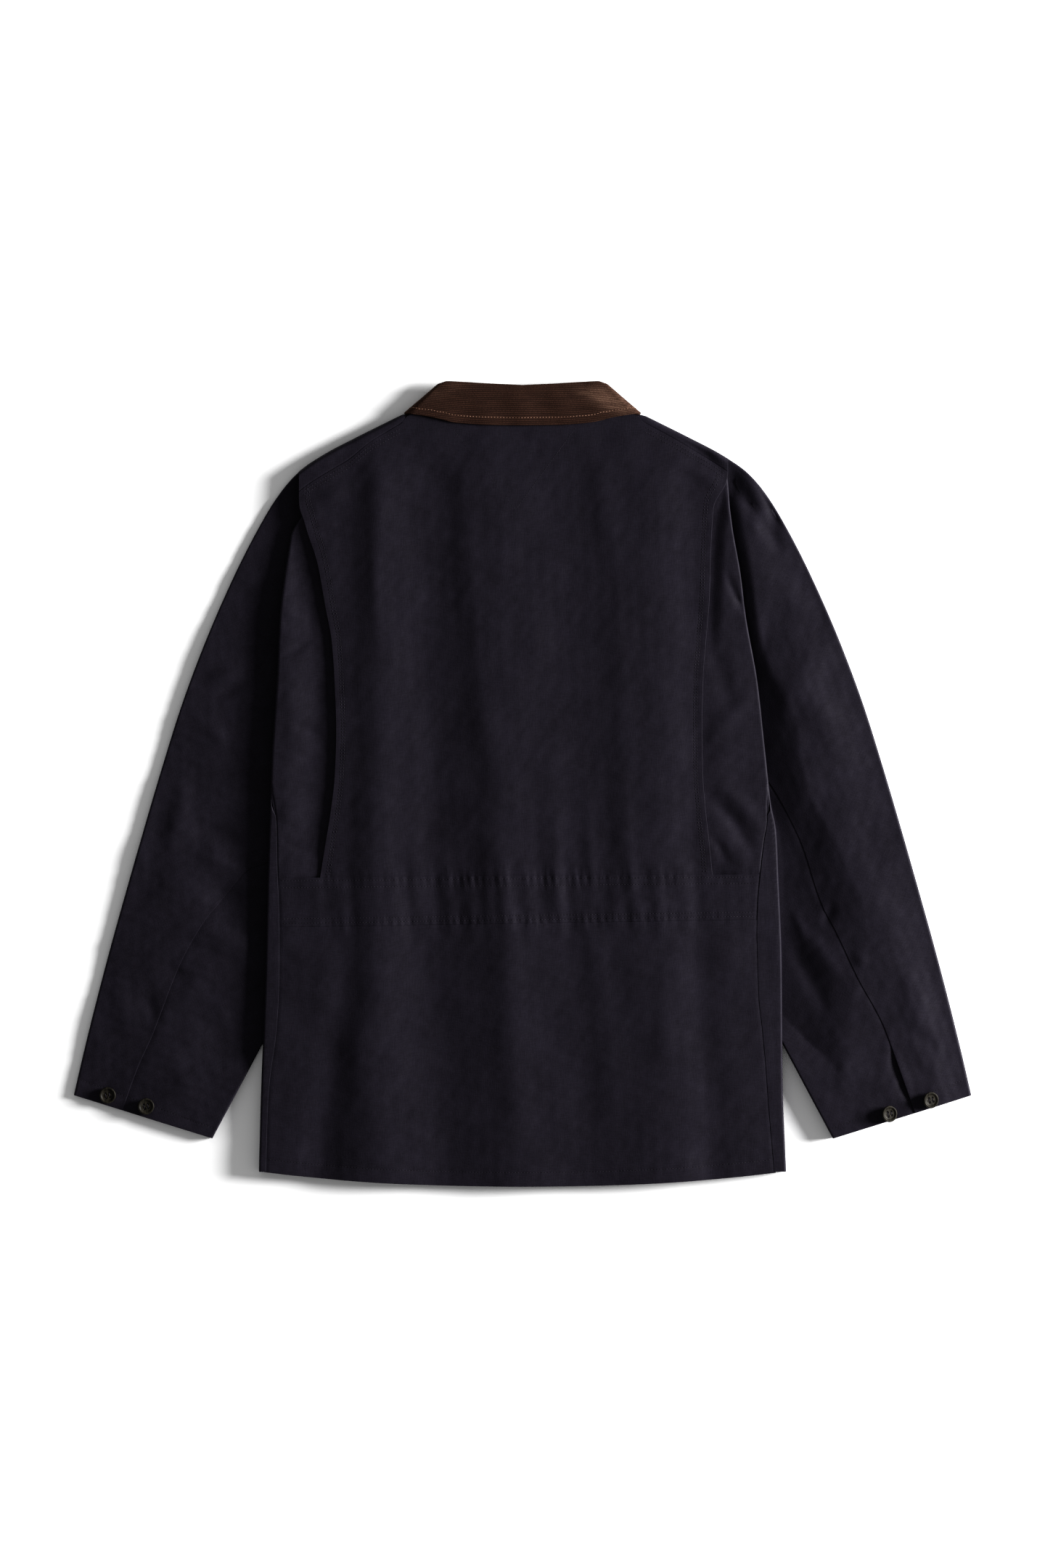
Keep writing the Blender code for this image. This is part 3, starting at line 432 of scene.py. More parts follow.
RIB_PITCH, RIB_HEIGHT = 2.0, 0.17  # corduroy's ribs
RIB_BREADTH = 0.7  # below 1, a rib is broad and its groove narrow
ROLL_DROP = 1.1  # how far the collar rolls down at its fold
COLLAR_EDGE_Y, COLLAR_DEPTH = 365.2, 41.0  # the free edge at the centre back, and from there to the fold
COLLAR_EDGE_RISE, COLLAR_EDGE_HALF, COLLAR_EDGE_BOW = 11.4, 120.0, 2.6  # of that edge towards its corners
PILE_HIGHLIGHT = (  # x, y, reach along x and y, strength: a painted highlight on the collar's pile, where it catches the lamp
    (86.0, 392.0, 17.0, 9.0, 0.9),
    (98.0, 383.0, 13.0, 6.0, 0.7),
    (70.0, 398.0, 16.0, 7.0, 0.6),
    (-84.0, 398.0, 22.0, 7.0, 0.15),
)
HOLE_SPACING, HOLE_DEPTH = 1.9, 1.3  # from the middle, and how deep each hole is dimpled
HOLE_EDGE = (0.75 * BUTTON_HOLE_R, 1.35 * BUTTON_HOLE_R)  # where its round edge starts and ends
BUTTON_SPIN, BUTTON_RAISE = radians(12), 0.8  # its turn, and its lift as a share of its tilted edge's drop
BUTTON_BAR_Z, BUTTON_BAR_LENGTH = 0.62 * BUTTON_THICK, 2 * HOLE_SPACING + 1.6  # bars of thread over its face
BUTTON_PROFILE = (  # radius share, height share: from the middle of the face out, under and back
    (0.0, 0.55), (0.3, 0.55), (0.55, 0.55), (0.66, 0.62), (0.76, 0.9), (0.84, 1.0), (0.92, 0.98),
    (0.98, 0.82), (1.0, 0.6), (0.98, 0.35), (0.9, 0.08), (0.8, 0.0), (0.4, 0.0), (0.0, 0.0),
)
BUTTON_RINGS, BUTTON_SPOKES, FACE_RINGS = 61, 73, 36  # of its grid, and how many rings are on the face

# Thread spacings of the waxed cotton, coarser than the real 0.4 mm so that they show
WEFT_PITCH, WARP_PITCH = 1.3, 1.2
FLAT = 1000.0  # mm of a pattern's spots through the thickness, so that it doesn't change there

# Studio, in metres apart from the camera's lens and sensor
LENS, SENSOR, VIEW_HEIGHT = 150.0, 36.0, 1.6  # mm, mm, and the height that the camera takes in
FLOOR_HALF, FLOOR_DROP = 12.0, 0.0004  # the floor's half width, and how far it lies below the jacket
FILL, KEY_POWER, KEY_SIZE, KEY_PLACE = 0.30, 530.0, 1.6, (4.2, 0.55, 1.42)


def curve(table, column=1):
    """A table's column against its first, as a cubic that never overshoots, level past its ends."""
    rows = np.array(sorted(tuple(row) for row in table), dtype=float)
    at, value = rows[:, 0], rows[:, column]
    step = np.diff(at)
    rise = np.diff(value) / step
    product = rise[:-1] * rise[1:]
    mean = np.where(product > 0, 2 * product / np.where(product > 0, rise[:-1] + rise[1:], 1), 0)
    slope = np.concatenate([rise[:1], mean, rise[-1:]])

    def read(x):
        x = np.clip(x, at[0], at[-1])
        i = np.clip(np.searchsorted(at, x, side="right") - 1, 0, len(step) - 1)
        t = (x - at[i]) / step[i]
        start = (1 + 2 * t) * (1 - t) ** 2 * value[i] + t * (1 - t) ** 2 * step[i] * slope[i]
        return start + t * t * (3 - 2 * t) * value[i + 1] + t * t * (t - 1) * step[i] * slope[i + 1]

    return read


def sided(table):
    """A table with a left and a right column, as a function of side and place."""
    columns = {-1: curve(table, 1), 1: curve(table, 2)}

    def read(side, at):
        return columns[side](at)

    return read


def ramp(x, start, end):
    """0 before start and 1 past end, level at both."""
    t = np.clip((x - start) / (end - start), 0.0, 1.0)
    return t * t * (3 - 2 * t)


def mix(a, b, share):
    """From a to b by a share."""
    return a + (b - a) * share


def turn(run, reach, length, bend=1.0):
    """Fold of a strip, half a circle stretched to its reach: how far out and what share of the way up, `run`
    along it from the fold's start. A bend below 1 keeps it flat for longer and turns it near the edge."""
    angle = np.clip(run / length, 0.0, 1.0) * pi
    out = reach * np.sin(angle) ** bend + np.minimum(run, 0.0) - np.maximum(run - length, 0.0)
    return out, (1 - np.cos(angle)) / 2


arm_x = curve(ARM_LINE)
shoulder_y = curve([(x, y) for y, x in ARM_LINE[:5]])
body_edge = sided(BODY_EDGE)
overlay_edge = sided(OVERLAY_EDGE)
side_strip = sided(SIDE_STRIP)
shoulder_strip = sided(SHOULDER_STRIP)
elbow_seam = sided(ELBOW_SEAM)
front_neck, back_neck = curve(FRONT_NECK), curve(BACK_NECK)
armhole_inset = curve(ARMHOLE_INSET)
base_level = curve(BACK_LEVEL)
inner_line = curve(INNER_LINE)
rise_start, rise_run = curve(RIGHT_RISE), curve(RIGHT_RISE, 2)
sleeve_base = curve(SLEEVE_LEVEL)


def hem_y(x):
    """The hem: lowest at the centre back, bowed up to its corners."""
    return HEM_Y + HEM_RISE * np.minimum(np.abs(x) / HEM_HALF, 1.0) ** HEM_BOW


def waist_top_y(x):
    """The seam between the back and the casing, a straight slope."""
    return WAIST_TOP_Y + WAIST_TOP_TILT * x


def waist_low_y(x):
    """The seam between the casing and the skirt, a straight slope."""
    return WAIST_LOW_Y + WAIST_LOW_TILT * x


def shoulder_end(side):
    """How far out the shoulder seam runs."""
    return body_edge(side, SHOULDER_END_Y) - armhole_inset(SHOULDER_END_Y)


def seam_y(side, x):
    """The shoulder seam on the back, joined to the back neck."""
    shoulder = shoulder_y(x) - shoulder_strip(side, x)
    return mix(back_neck(x), shoulder, ramp(x, NECK_END, SHOULDER_START))


def back_level(x, y):
    """Middle of the back's wall: a low crown over the chest that thins to the sides, with the soft folds."""
    x, y = np.broadcast_arrays(np.asarray(x, float), np.asarray(y, float))
    level = base_level(y) - mix(*SIDE_FALL, x > 0) * ramp(np.abs(x), 190.0, 262.0)
    fade = 1 - ramp(y, 300.0, 372.0)
    for row in FOLDS:
        middle = curve(zip(FOLD_HEIGHTS, row[0:3]))(y)
        rise = curve(zip(FOLD_HEIGHTS, row[4:7]))(y)
        level = level + fade * rise * np.exp(-(((x - middle) / row[3]) ** 2))
    return level + back_relief(x, y)


def pleat_level(side, x, y):
    """Middle of the pleat layer's wall, under the overlay and then a little lower beside it."""
    beside = ramp(x, overlay_edge(side, y) - 12.0, overlay_edge(side, y) + 6.0)
    open_share = ramp(y, WAIST_TOP_Y, -40.0) * (1 - ramp(y, 230.0, 300.0))
    flush = ramp(x, overlay_edge(side, y) + 4.0, overlay_edge(side, y) + 34.0) * (1 - ramp(y, -84.0, -45.0))
    drop = (WALL + GAP + 0.25) * (1 - flush) + beside * open_share * PLEAT_STEP[side]
    hollow = 1 - ramp(x, overlay_edge(side, y) + 1.0, overlay_edge(side, y) + 15.0)
    hollow = hollow * ramp(y, 120.0, 185.0) * (1 - ramp(y, 292.0, 312.0)) * (side > 0)
    edge_lift = PLEAT_LIFT * ramp(x, overlay_edge(side, y) + 12.0, overlay_edge(side, y) + 50.0)
    edge_lift = edge_lift * open_share * (side < 0)
    return np.maximum(back_level(side * x, y) - drop, PLEAT_FLOOR) - PLEAT_HOLLOW * hollow + edge_lift


def front_level(x, y, lap):
    """Middle of a front's wall: on the ground, and raised over the sleeve's flat strip, over the collar's
    leaf, and by the lap over the other front."""
    x = np.abs(x)
    edge = np.minimum(body_edge(-1, y), body_edge(1, y))
    strip = ramp(x, edge - 62.0, edge - 34.0) * ramp(y, -300.0, -275.0) * (1 - ramp(y, 20.0, 50.0))
    point_x, point_y = COLLAR_FALL[-1][1:3]
    leaf_edge = point_x + (y - point_y) * LEAF_SLOPE
    leaf = (1 - ramp(x, leaf_edge + 20.0, leaf_edge + 42.0)) * ramp(y, 205.0, 240.0)
    return WALL / 2 + np.maximum(SIDE_LIFT * strip, LEAF_LIFT * leaf) + lap


def front(side):
    """A front. The share u runs from its centre edge (-1) over the centre (0) and the side fold's start
    (SIDE_FOLD_U) to the side seam or armhole (1). The row v is the height at the side, and past FOLD_ROW
    the share of the band that turns over the shoulder."""
    over = WALL + 2 * GAP if side > 0 else 0.0
    end = shoulder_end(side)

    def fold_start(x):
        return mix(front_neck(x) - 24.0, shoulder_y(x) - SHOULDER_REACH, ramp(x, 100.0, FOLD_START))

    def pattern_top(x):
        shoulder = shoulder_y(x) - 2 * SHOULDER_REACH + SHOULDER_TURN + shoulder_strip(side, x) + TUCK_IN
        return np.where(x < FOLD_START, front_neck(x), shoulder)

    def surface(u, v):
        row = np.minimum(v, FOLD_ROW)
        edge = body_edge(side, row)
        unwrapped = ramp(row, 2.0, 22.0)
        wrapped = edge - 2 * SIDE_REACH + SIDE_TURN + side_strip(side, row) - GAP / 2 - 0.1
        armhole = np.where(row > SHOULDER_END_Y, end, edge - armhole_inset(row))
        outer = mix(wrapped, armhole, unwrapped)
        near = mix(edge - SIDE_REACH, SIDE_FOLD_U * armhole, unwrapped)
        past = (u - SIDE_FOLD_U) / (1 - SIDE_FOLD_U)
        run = np.where(u < SIDE_FOLD_U, near * u / SIDE_FOLD_U, mix(near, outer, past))
        run = np.where(u < 0, FRONT_LAP * u, run)
        hem = hem_y(np.minimum(run, edge))
        start = fold_start(np.minimum(run, end))
        y = row + (start - FOLD_ROW) * ramp(row, WRAP_TOP, FOLD_ROW)
        y = y + (hem - SIDE_HEM_Y) * (1 - ramp(row, SIDE_HEM_Y, -150.0))
        y = np.where(v > FOLD_ROW, mix(start, pattern_top(run), v - FOLD_ROW), y)
        under_lip = ramp(y, -8.0, 0.0) * (1 - ramp(y, 20.0, WRAP_TOP))
        edge = body_edge(side, y) - LIP_ROOM * under_lip
        out, up = turn(run - edge + SIDE_REACH, SIDE_REACH, SIDE_TURN, FOLD_BEND)
        below = row < WRAP_TOP
        x = np.where(below, edge - SIDE_REACH + out, run)
        up = np.where(below, up, 0.0)
        out, over_shoulder = turn(y - shoulder_y(x) + SHOULDER_REACH, SHOULDER_REACH, SHOULDER_TURN)
        at_shoulder = (x > FOLD_START) & (v >= FOLD_ROW)
        y = np.where(at_shoulder, shoulder_y(x) - SHOULDER_REACH + out, y)
        up = np.where(at_shoulder, over_shoulder, up)
        lap = over * (1 - ramp(x, FRONT_LAP + 12.0, FRONT_LAP + 45.0))
        inner_x = np.minimum(x, body_edge(side, y) - SIDE_REACH)
        low, high = front_level(x, y, lap), back_level(side * inner_x, y)
        high = mix(high, pleat_level(side, inner_x, y), ramp(y, -92.0, -70.0) * (1 - ramp(y, 60.0, 100.0)))
        high = high - (WALL + GAP) * under_lip
        edge_y = panel_top(side * x)
        high = high - np.where(at_shoulder, TUCK_DIP * ramp(edge_y - y, -TUCK_RUN, 0.0), 0.0)
        return side * x, y, mix(low, high, up)

    return surface


def on_back(x, y):
    """The back's middle surface itself, by place."""
    return x, y, back_level(x, y)


def panel_top(x):
    """Upper edge of the overlay: on the shoulder seams, and under the collar between them."""
    top = np.where(x < 0, seam_y(-1, -x), seam_y(1, x))
    far = np.abs(x)
    top = top - (4 * GAP + NECK_EASE) * (1 - ramp(far, 100.0, 109.0))
    return top + 1.2 * ramp(far, 103.0, 109.0) * (1 - ramp(far, NECK_END, NECK_END + 6.0))


def back_panel(u, v):
    """The overlay: u is the share out from the centre to the left (-1) or right (1) free edge, v from the
    casing to the neck and shoulders."""
    row = mix(WAIST_TOP_Y, SHOULDER_END_Y, v)
    left = mix(overlay_edge(-1, row), shoulder_end(-1), ramp(row, 270.0, SHOULDER_END_Y))
    right = mix(overlay_edge(1, row), shoulder_end(1), ramp(row, 258.0, 306.0))
    x = np.where(u < 0, left * u, right * u)
    y = mix(waist_top_y(x) + GAP / 2, panel_top(x), v)
    return x, y, back_level(x, y)


def back_side(side):
    """A pleat layer: u is the share from under the overlay to the lip over the sleeve, v the height."""
    def surface(u, v):
        inner = overlay_edge(side, v) - mix(PLEAT_TUCK, 30.0, ramp(v, 200.0, 280.0))
        edge = mix(body_edge(side, v), shoulder_end(side) - 1.0, ramp(v, 288.0, 312.0))
        edge = edge - 13.0 * ramp(v, 252.0, 284.0) * (side < 0)
        seam = edge - side_strip(side, v) - GAP / 2
        last = mix(seam + TUCK_IN, edge - 2 * PLEAT_REACH + PLEAT_TURN + 3.0, ramp(v, -6.0, 3.0))
        run = mix(inner, last, u)
        out, under = turn(run - edge + PLEAT_REACH, PLEAT_REACH, PLEAT_TURN, LIP_BEND)
        x = edge - PLEAT_REACH + out
        slope = waist_top_y(side * x) + GAP / 2 - WAIST_TOP_Y
        y = v + slope * (1 - ramp(v, WAIST_TOP_Y, WAIST_TOP_Y + 40.0))
        level = pleat_level(side, np.minimum(x, edge - PLEAT_REACH), y)
        dip = TUCK_DIP * ramp(x - seam, -TUCK_RUN, 0.0) * (1 - ramp(v, -6.0, 1.0))
        dip = np.maximum(dip, TUCK_DIP * (1 - ramp(v - WAIST_TOP_Y, 0.0, TUCK_RUN)))
        return side * x, y, level - PLEAT_DROP * under - dip

    return surface


def across_back(low_y, low_gap, high_y):
    """A panel from side seam to side seam: u is the share across and v the share up, from low_gap above one
    edge to just below the other. The edges are functions of x."""
    def row(x, v):
        return mix(low_y(x) + low_gap, high_y(x) - GAP / 2, v)

    def surface(u, v):
        left_y, right_y = row(-250.0, v), row(250.0, v)
        left = -body_edge(-1, left_y) + side_strip(-1, left_y) + GAP / 2
        right = body_edge(1, right_y) - side_strip(1, right_y) - GAP / 2
        x = mix(left, right, u)
        y = row(x, v)
        return x, y, back_level(x, y)

    return surface


def sleeve_plan(side, along, across):
    """Place on the sleeve's plan: straight across from the outer line to the inner fold, and bowed to the
    armhole at the start."""
    start_y = shoulder_y(shoulder_end(side) + 2 * GAP)
    outer_y = mix(start_y, ARM_LINE[-1][0], along)
    inner_y = mix(SLEEVE_INNER_Y, INNER_LINE[-1][0], along)
    outer = arm_x(outer_y)
    leave_y, leave_x = INNER_LINE[0]
    shift = (body_edge(side, inner_y) - body_edge(1, leave_y)) * (1 - ramp(inner_y, -190.0, -240.0))
    inner = np.where(inner_y > leave_y, leave_x + shift, inner_line(inner_y))
    head_y = mix(start_y, SLEEVE_INNER_Y, across)
    head = body_edge(side, head_y) - armhole_inset(head_y)
    head = np.where(head_y > SHOULDER_END_Y, shoulder_end(side), head)
    head = head + mix(HEAD_GAP, 2 * GAP, ramp(head_y, 265.0, 300.0))
    inner_start = leave_x + body_edge(side, SLEEVE_INNER_Y) - body_edge(1, leave_y)
    bow = (head - mix(arm_x(start_y), inner_start, across)) * (1 - along) ** 2
    return mix(outer, inner, across) + bow, mix(outer_y, inner_y, across)


def sleeve_level(side, along, across, x, y):
    """Middle of the sleeve's upper wall, pressed low beside and under the body's edge."""
    level = sleeve_base(along)
    for outer_at, inner_at, half, rise in SLEEVE_FOLDS:
        level = level + rise * np.exp(-(((along - mix(outer_at, inner_at, across)) / half) ** 2))
    beyond = x - body_edge(side, y)
    pressed = mix(STRIP_LEVEL, TUCK_LEVEL[side], ramp(y, 26.0, 90.0))
    if side < 0:
        free = sum(part * ramp(beyond, start, end) for part, start, end in LEFT_RISE)
    else:
        share = np.clip((beyond - rise_start(y)) / rise_run(y), 0.0, 1.0)
        free = mix(ramp(share, 0.0, 1.0), share, STRAIGHT_SHARE)
    free = np.maximum(free, ramp(y, 290.0, 314.0))
    free = np.maximum(free, ramp(y, CUFF_FREE_Y[side], -300.0))
    crest = CREST[side] * ramp(across, 0.0, 0.25) - OUTER_FALL[side] * (1 - ramp(across, 0.0, 0.75))
    level = mix(np.minimum(pressed, level), level + crest, free)
    relief = sleeve_relief(side, x, y) * np.maximum(ramp(beyond, 2.0, 24.0), ramp(y, 290.0, 314.0))
    return np.maximum(level + relief, STRIP_LEVEL - 0.2)


def vent(side, along):
    """How far the cuff's vent gapes: the right one stands off the layer below, and the left one is shut."""
    return ramp(along, 0.86, 0.91) * (1 - 0.75 * ramp(along, 0.94, 1.0)) * (side > 0)


def sleeve(side, top):
    """Half of a sleeve: v from the armhole to the cuff. u runs from the front seam (0) along the lower wall
    to the fold (1), round it (2) and along the upper wall to the elbow seam (3); the fold is the outer
    line of the top sleeve and the inner fold of the under sleeve."""
    reach, length = (SLEEVE_REACH, SLEEVE_TURN) if top else (INNER_REACH, INNER_TURN)

    def surface(u, v):
        v = v - HEAD_TUCK * (1 - ramp(v, 0.0, 0.05)) * (ramp(u, 1.3, 2.0) if top else ramp(u, 1.0, 2.0))
        outer, inner = sleeve_plan(side, v, 0.0), sleeve_plan(side, v, 1.0)
        width = np.hypot(outer[0] - inner[0], outer[1] - inner[1])
        seam, lower = elbow_seam(side, v) * width, FRONT_SEAM * width
        if not top:
            seam, lower = width - seam, width - lower
        start = reach + GAP / 2 - lower
        tuck = 0.0 if top else TUCK_IN
        end = length + seam - reach - GAP / 2 + tuck
        past = u - 2
        if not top:
            strip = np.minimum(PRESSED_WIDTH / (end - length), 0.6)
            past = np.where(past < 0.4, past / 0.4 * strip, mix(strip, 1.0, (past - 0.4) / 0.6))
        run = np.where(u < 1, mix(start, 0.0, u), np.where(u > 2, mix(length, end, past), (u - 1) * length))
        out, up = turn(run, reach, length, FOLD_BEND)
        inward = reach - out
        across = inward / width if top else 1 - inward / width
        x, y = sleeve_plan(side, v, across)
        from_seam = np.where(u > 2, end - tuck - run, 99.0)
        open_share = vent(side, v)
        fade = np.maximum(from_seam, 0.0) / mix(2.5, 8.0, open_share)
        step = mix(SEAM_STEP, VENT_STEP, open_share) * np.exp(-(fade**2))
        high = sleeve_level(side, v, across, x, y) - HEAD_DROP * (1 - ramp(v, 0.0, 0.02))
        high = high + (0.4 * step if top else -step)
        if not top:
            high = high - (TUCK_DIP - SEAM_STEP) * (1 - ramp(from_seam, 0.0, TUCK_RUN))
        return side * x, y, mix(WALL / 2, high, up)

    return surface


def collar(table, wall, under, over):
    """A collar band: u from one point round the back to the other, v straight from the free edge to the fold
    line. It lies `over` above the back's wall, and `under` above the ground in front."""
    columns = [curve([(row[0], row[k]) for row in table]) for k in range(1, 6)]

    def surface(u, v):
        side = np.where(u < 0, -1.0, 1.0)
        free_x, free_y, fold_x, fold_y, share = (read(np.abs(u)) for read in columns)
        x, y = mix(free_x, fold_x, v), mix(free_y, fold_y, v)
        high = back_level(side * x, np.minimum(y, BACK_NECK[0][1])) + over
        return side * x, y, mix(under + wall / 2, high, share)

    return surface


def lines(rows, x, y):
    """Sum of soft lines down the cloth: a bell across each line's place, whose height varies down it."""
    total = 0.0
    for line in rows:
        place, half, rise = (curve([(row[0], row[k]) for row in line])(y) for k in (1, 2, 3))
        total = total + rise * np.exp(-(((x - place) / half) ** 2))
    return total


def creases(rows, x, y):
    """Sum of bowed creases: a bell across the line between two points, faded to nothing at both ends."""
    total = 0.0
    for x0, y0, x1, y1, half, rise, bow in rows:
        length = np.hypot(x1 - x0, y1 - y0)
        along = ((x - x0) * (x1 - x0) + (y - y0) * (y1 - y0)) / length**2
        off = ((x - x0) * (y1 - y0) - (y - y0) * (x1 - x0)) / length
        fade = np.sin(pi * np.clip(along, 0.0, 1.0))
        total = total + rise * fade * np.exp(-(((off - bow * fade) / half) ** 2))
    return total


def ripple(x, y, seed, longest, shortest, count=14):
    """Uneven rise, mostly between -1 and 1: waves of random direction and length, scaled to their number."""
    random = np.random.default_rng(seed)
    total = 0.0
    for _ in range(count):
        angle, phase = random.uniform(0, 2 * pi, 2)
        length = random.uniform(shortest, longest)
        total = total + np.sin(2 * pi * (x * np.cos(angle) + y * np.sin(angle)) / length + phase)
    return total / np.sqrt(count)


def uneven(at, pitch, seed=1):
    """Irregular puckers, mostly between -1 and 1: waves about the pitch long, out of step."""
    random = np.random.default_rng(seed)
    total = 0.0
    for _ in range(7):
        length, phase = pitch * random.uniform(0.65, 1.7), random.uniform(0, 2 * pi)
        total = total + np.sin(2 * pi * at / length + phase)
    return total / 3.5


def rib_share(x, y):
    """How high on a rib a point of the collar is, from 0 in a groove to 1: a wave across the ribs, which
    follow the free edge and level out towards the fold."""
    rise = COLLAR_EDGE_RISE * np.minimum(np.abs(x) / COLLAR_EDGE_HALF, 1.1) ** COLLAR_EDGE_BOW
    up = y - COLLAR_EDGE_Y - rise
    level = y - COLLAR_EDGE_Y - rise * (1 - 0.75 * np.clip(up / COLLAR_DEPTH, 0.0, 1.0))
    return 0.5 - 0.5 * np.cos(2 * pi * level / RIB_PITCH)


def ribbed(surface):
    """The collar with its ribs: raised by their share, worn unevenly, softly dented, and rolled down at the
    fold. The relief fades out where the collar lies near the ground."""
    def ribs(u, v):
        x, y, z = surface(u, v)
        worn = 0.8 + 0.2 * ripple(x, y, 31, 40.0, 12.0)
        rolled = ROLL_DROP * ramp(v, 0.86, 1.0) ** 2
        worn = worn * (1 - 0.7 * ramp(v, 0.86, 0.97))
        soft = 0.5 * ripple(x, y, 33, 90.0, 35.0, 6)
        rib = RIB_HEIGHT * worn * (rib_share(x, y) ** RIB_BREADTH - 0.5)
        relief = rib - rolled + np.maximum(soft, -0.3)
        return x, y, z + relief * ramp(z, CORD_WALL, 3 * CORD_WALL)

    return ribs


def highlight_share(x, y):
    """Share of the painted highlight on the collar's pile, where it catches the lamp: soft ovals that lean
    down to the collar's corner.
    """
    total = 0.0
    for at_x, at_y, reach_x, reach_y, strength in PILE_HIGHLIGHT:
        lean = y - at_y + 0.25 * (x - at_x) * np.sign(at_x)
        total = total + strength * np.exp(-(((x - at_x) / reach_x) ** 2) - (lean / reach_y) ** 2)
    return np.clip(total, 0.0, 1.0)


def mark_pile(piece):
    """Stores each point's place on its rib, which sets the painted shade in the grooves, and its share of
    the painted highlight on the pile, for the colour.
    """
    points = np.empty(len(piece.data.vertices) * 3)
    piece.data.vertices.foreach_get("co", points)
    points = points.reshape(-1, 3) / MM
    for name, share in (("rib", rib_share), ("painted_highlight", highlight_share)):
        layer = piece.data.attributes.new(name, "FLOAT", "POINT")
        layer.data.foreach_set("value", share(points[:, 0], points[:, 1]))


def fine_relief(rows, x, y, shift=0):
    """The sum of the rows' ripples, each of its own depth."""
    ripples = ((depth, ripple(x, y, seed + shift, longest, shortest, FINE_COUNT))
               for depth, seed, longest, shortest in rows)
    return sum(depth * rise for depth, rise in ripples)


def back_relief(x, y):
    """Fine folds, creases, gathers and unevenness of the back's cloth."""
    above, below = y - waist_top_y(x), waist_low_y(x) - y
    reach = np.exp(-((np.maximum(above, 0.0) / 15.0) ** 2) - (np.maximum(below, 0.0) / 12.0) ** 2)
    near_top, near_low = np.exp(-((above + 2.0) / 9.0) ** 2), np.exp(-((below + 2.0) / 7.0) ** 2)
    leaning = x + 0.1 * y
    waves = zip((reach, near_top, near_low), GATHER_WAVES)
    gather = sum(depth * share * uneven(leaning, pitch, seed) for share, (depth, pitch, seed) in waves)
    gather = gather * curve(GATHERS)(x)
    hem_puckers = HEM_PUCKER * np.exp(-(((y - hem_y(x) - HEM_ROW_UP) / 6.0) ** 2)) * uneven(x, 7.5)
    folds = LINE_DEPTH * lines(BACK_LINES, x, y) + CREASE_DEPTH * creases(BACK_CREASES, x, y)
    return (folds + fine_relief(BACK_FINE, x, y)) * (1 - ramp(y, 355.0, 376.0)) + gather + hem_puckers


def sleeve_relief(side, x, y):
    """Creases and fine unevenness of a sleeve's cloth."""
    rows = LEFT_SLEEVE_CREASES if side < 0 else RIGHT_SLEEVE_CREASES
    return CREASE_DEPTH * creases(rows, x, y) + fine_relief(SLEEVE_FINE, x, y, side)


def spaced(start, end, length, pitch, rows=()):
    """Grid lines from start to end of a strip so long: the pitch apart, and closer at its rims and rows."""
    share = (end - start) / length
    even = np.linspace(start, end, int(np.ceil(length / pitch)) + 1)[1:-1]
    fixed = [row + share * ROW_LINES for row in rows]
    fixed = np.concatenate([start + share * RIM_LINES, end - share * RIM_LINES, *fixed])
    apart = np.abs(even[:, None] - fixed[None]).min(axis=1) > 0.3 * share
    values = np.unique(np.round(np.concatenate([[start, end], even[apart], fixed]), 6))
    return values[(values >= start) & (values <= end)]


def grid(stretches, rows=()):
    """Grid lines of all stretches of a strip, in order."""
    return np.unique(np.concatenate([spaced(*stretch, rows) for stretch in stretches]))


def normals(middle):
    """Unit normals of a grid surface, square to its rows and columns."""
    normal = np.cross(np.gradient(middle, axis=0), np.gradient(middle, axis=1))
    size = np.linalg.norm(normal, axis=-1, keepdims=True)
    return normal / np.maximum(size, 1e-9)


def run_lengths(middle, axis):
    """Length along the grid from its start, and to its end."""
    steps = np.linalg.norm(np.diff(middle, axis=axis), axis=-1)
    pad = [(1, 0), (0, 0)] if axis == 0 else [(0, 0), (1, 0)]
    run = np.pad(np.cumsum(steps, axis=axis), pad)
    return run, np.take(run, [-1], axis=axis) - run


def mesh_piece(name, points, faces, finish, uv=None):
    """A visible piece on the root body from points in mm, with its finish and, for cloth, its own UV map."""
    mesh = bpy.data.meshes.new(name)
    mesh.from_pydata(np.asarray(points) * MM, [], faces)
    mesh.shade_smooth()
    mesh.materials.append(finish)
    if uv is not None:
        layer = mesh.uv_layers.new(name="Cloth")
        corners = np.empty(len(mesh.loops), dtype=np.int32)
        mesh.loops.foreach_get("vertex_index", corners)
        layer.data.foreach_set("uv", (np.asarray(uv)[corners] * MM).ravel())
    piece = bpy.data.objects.new(name, mesh)
    bpy.context.scene.collection.objects.link(piece)
    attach(piece, "root")
    return piece


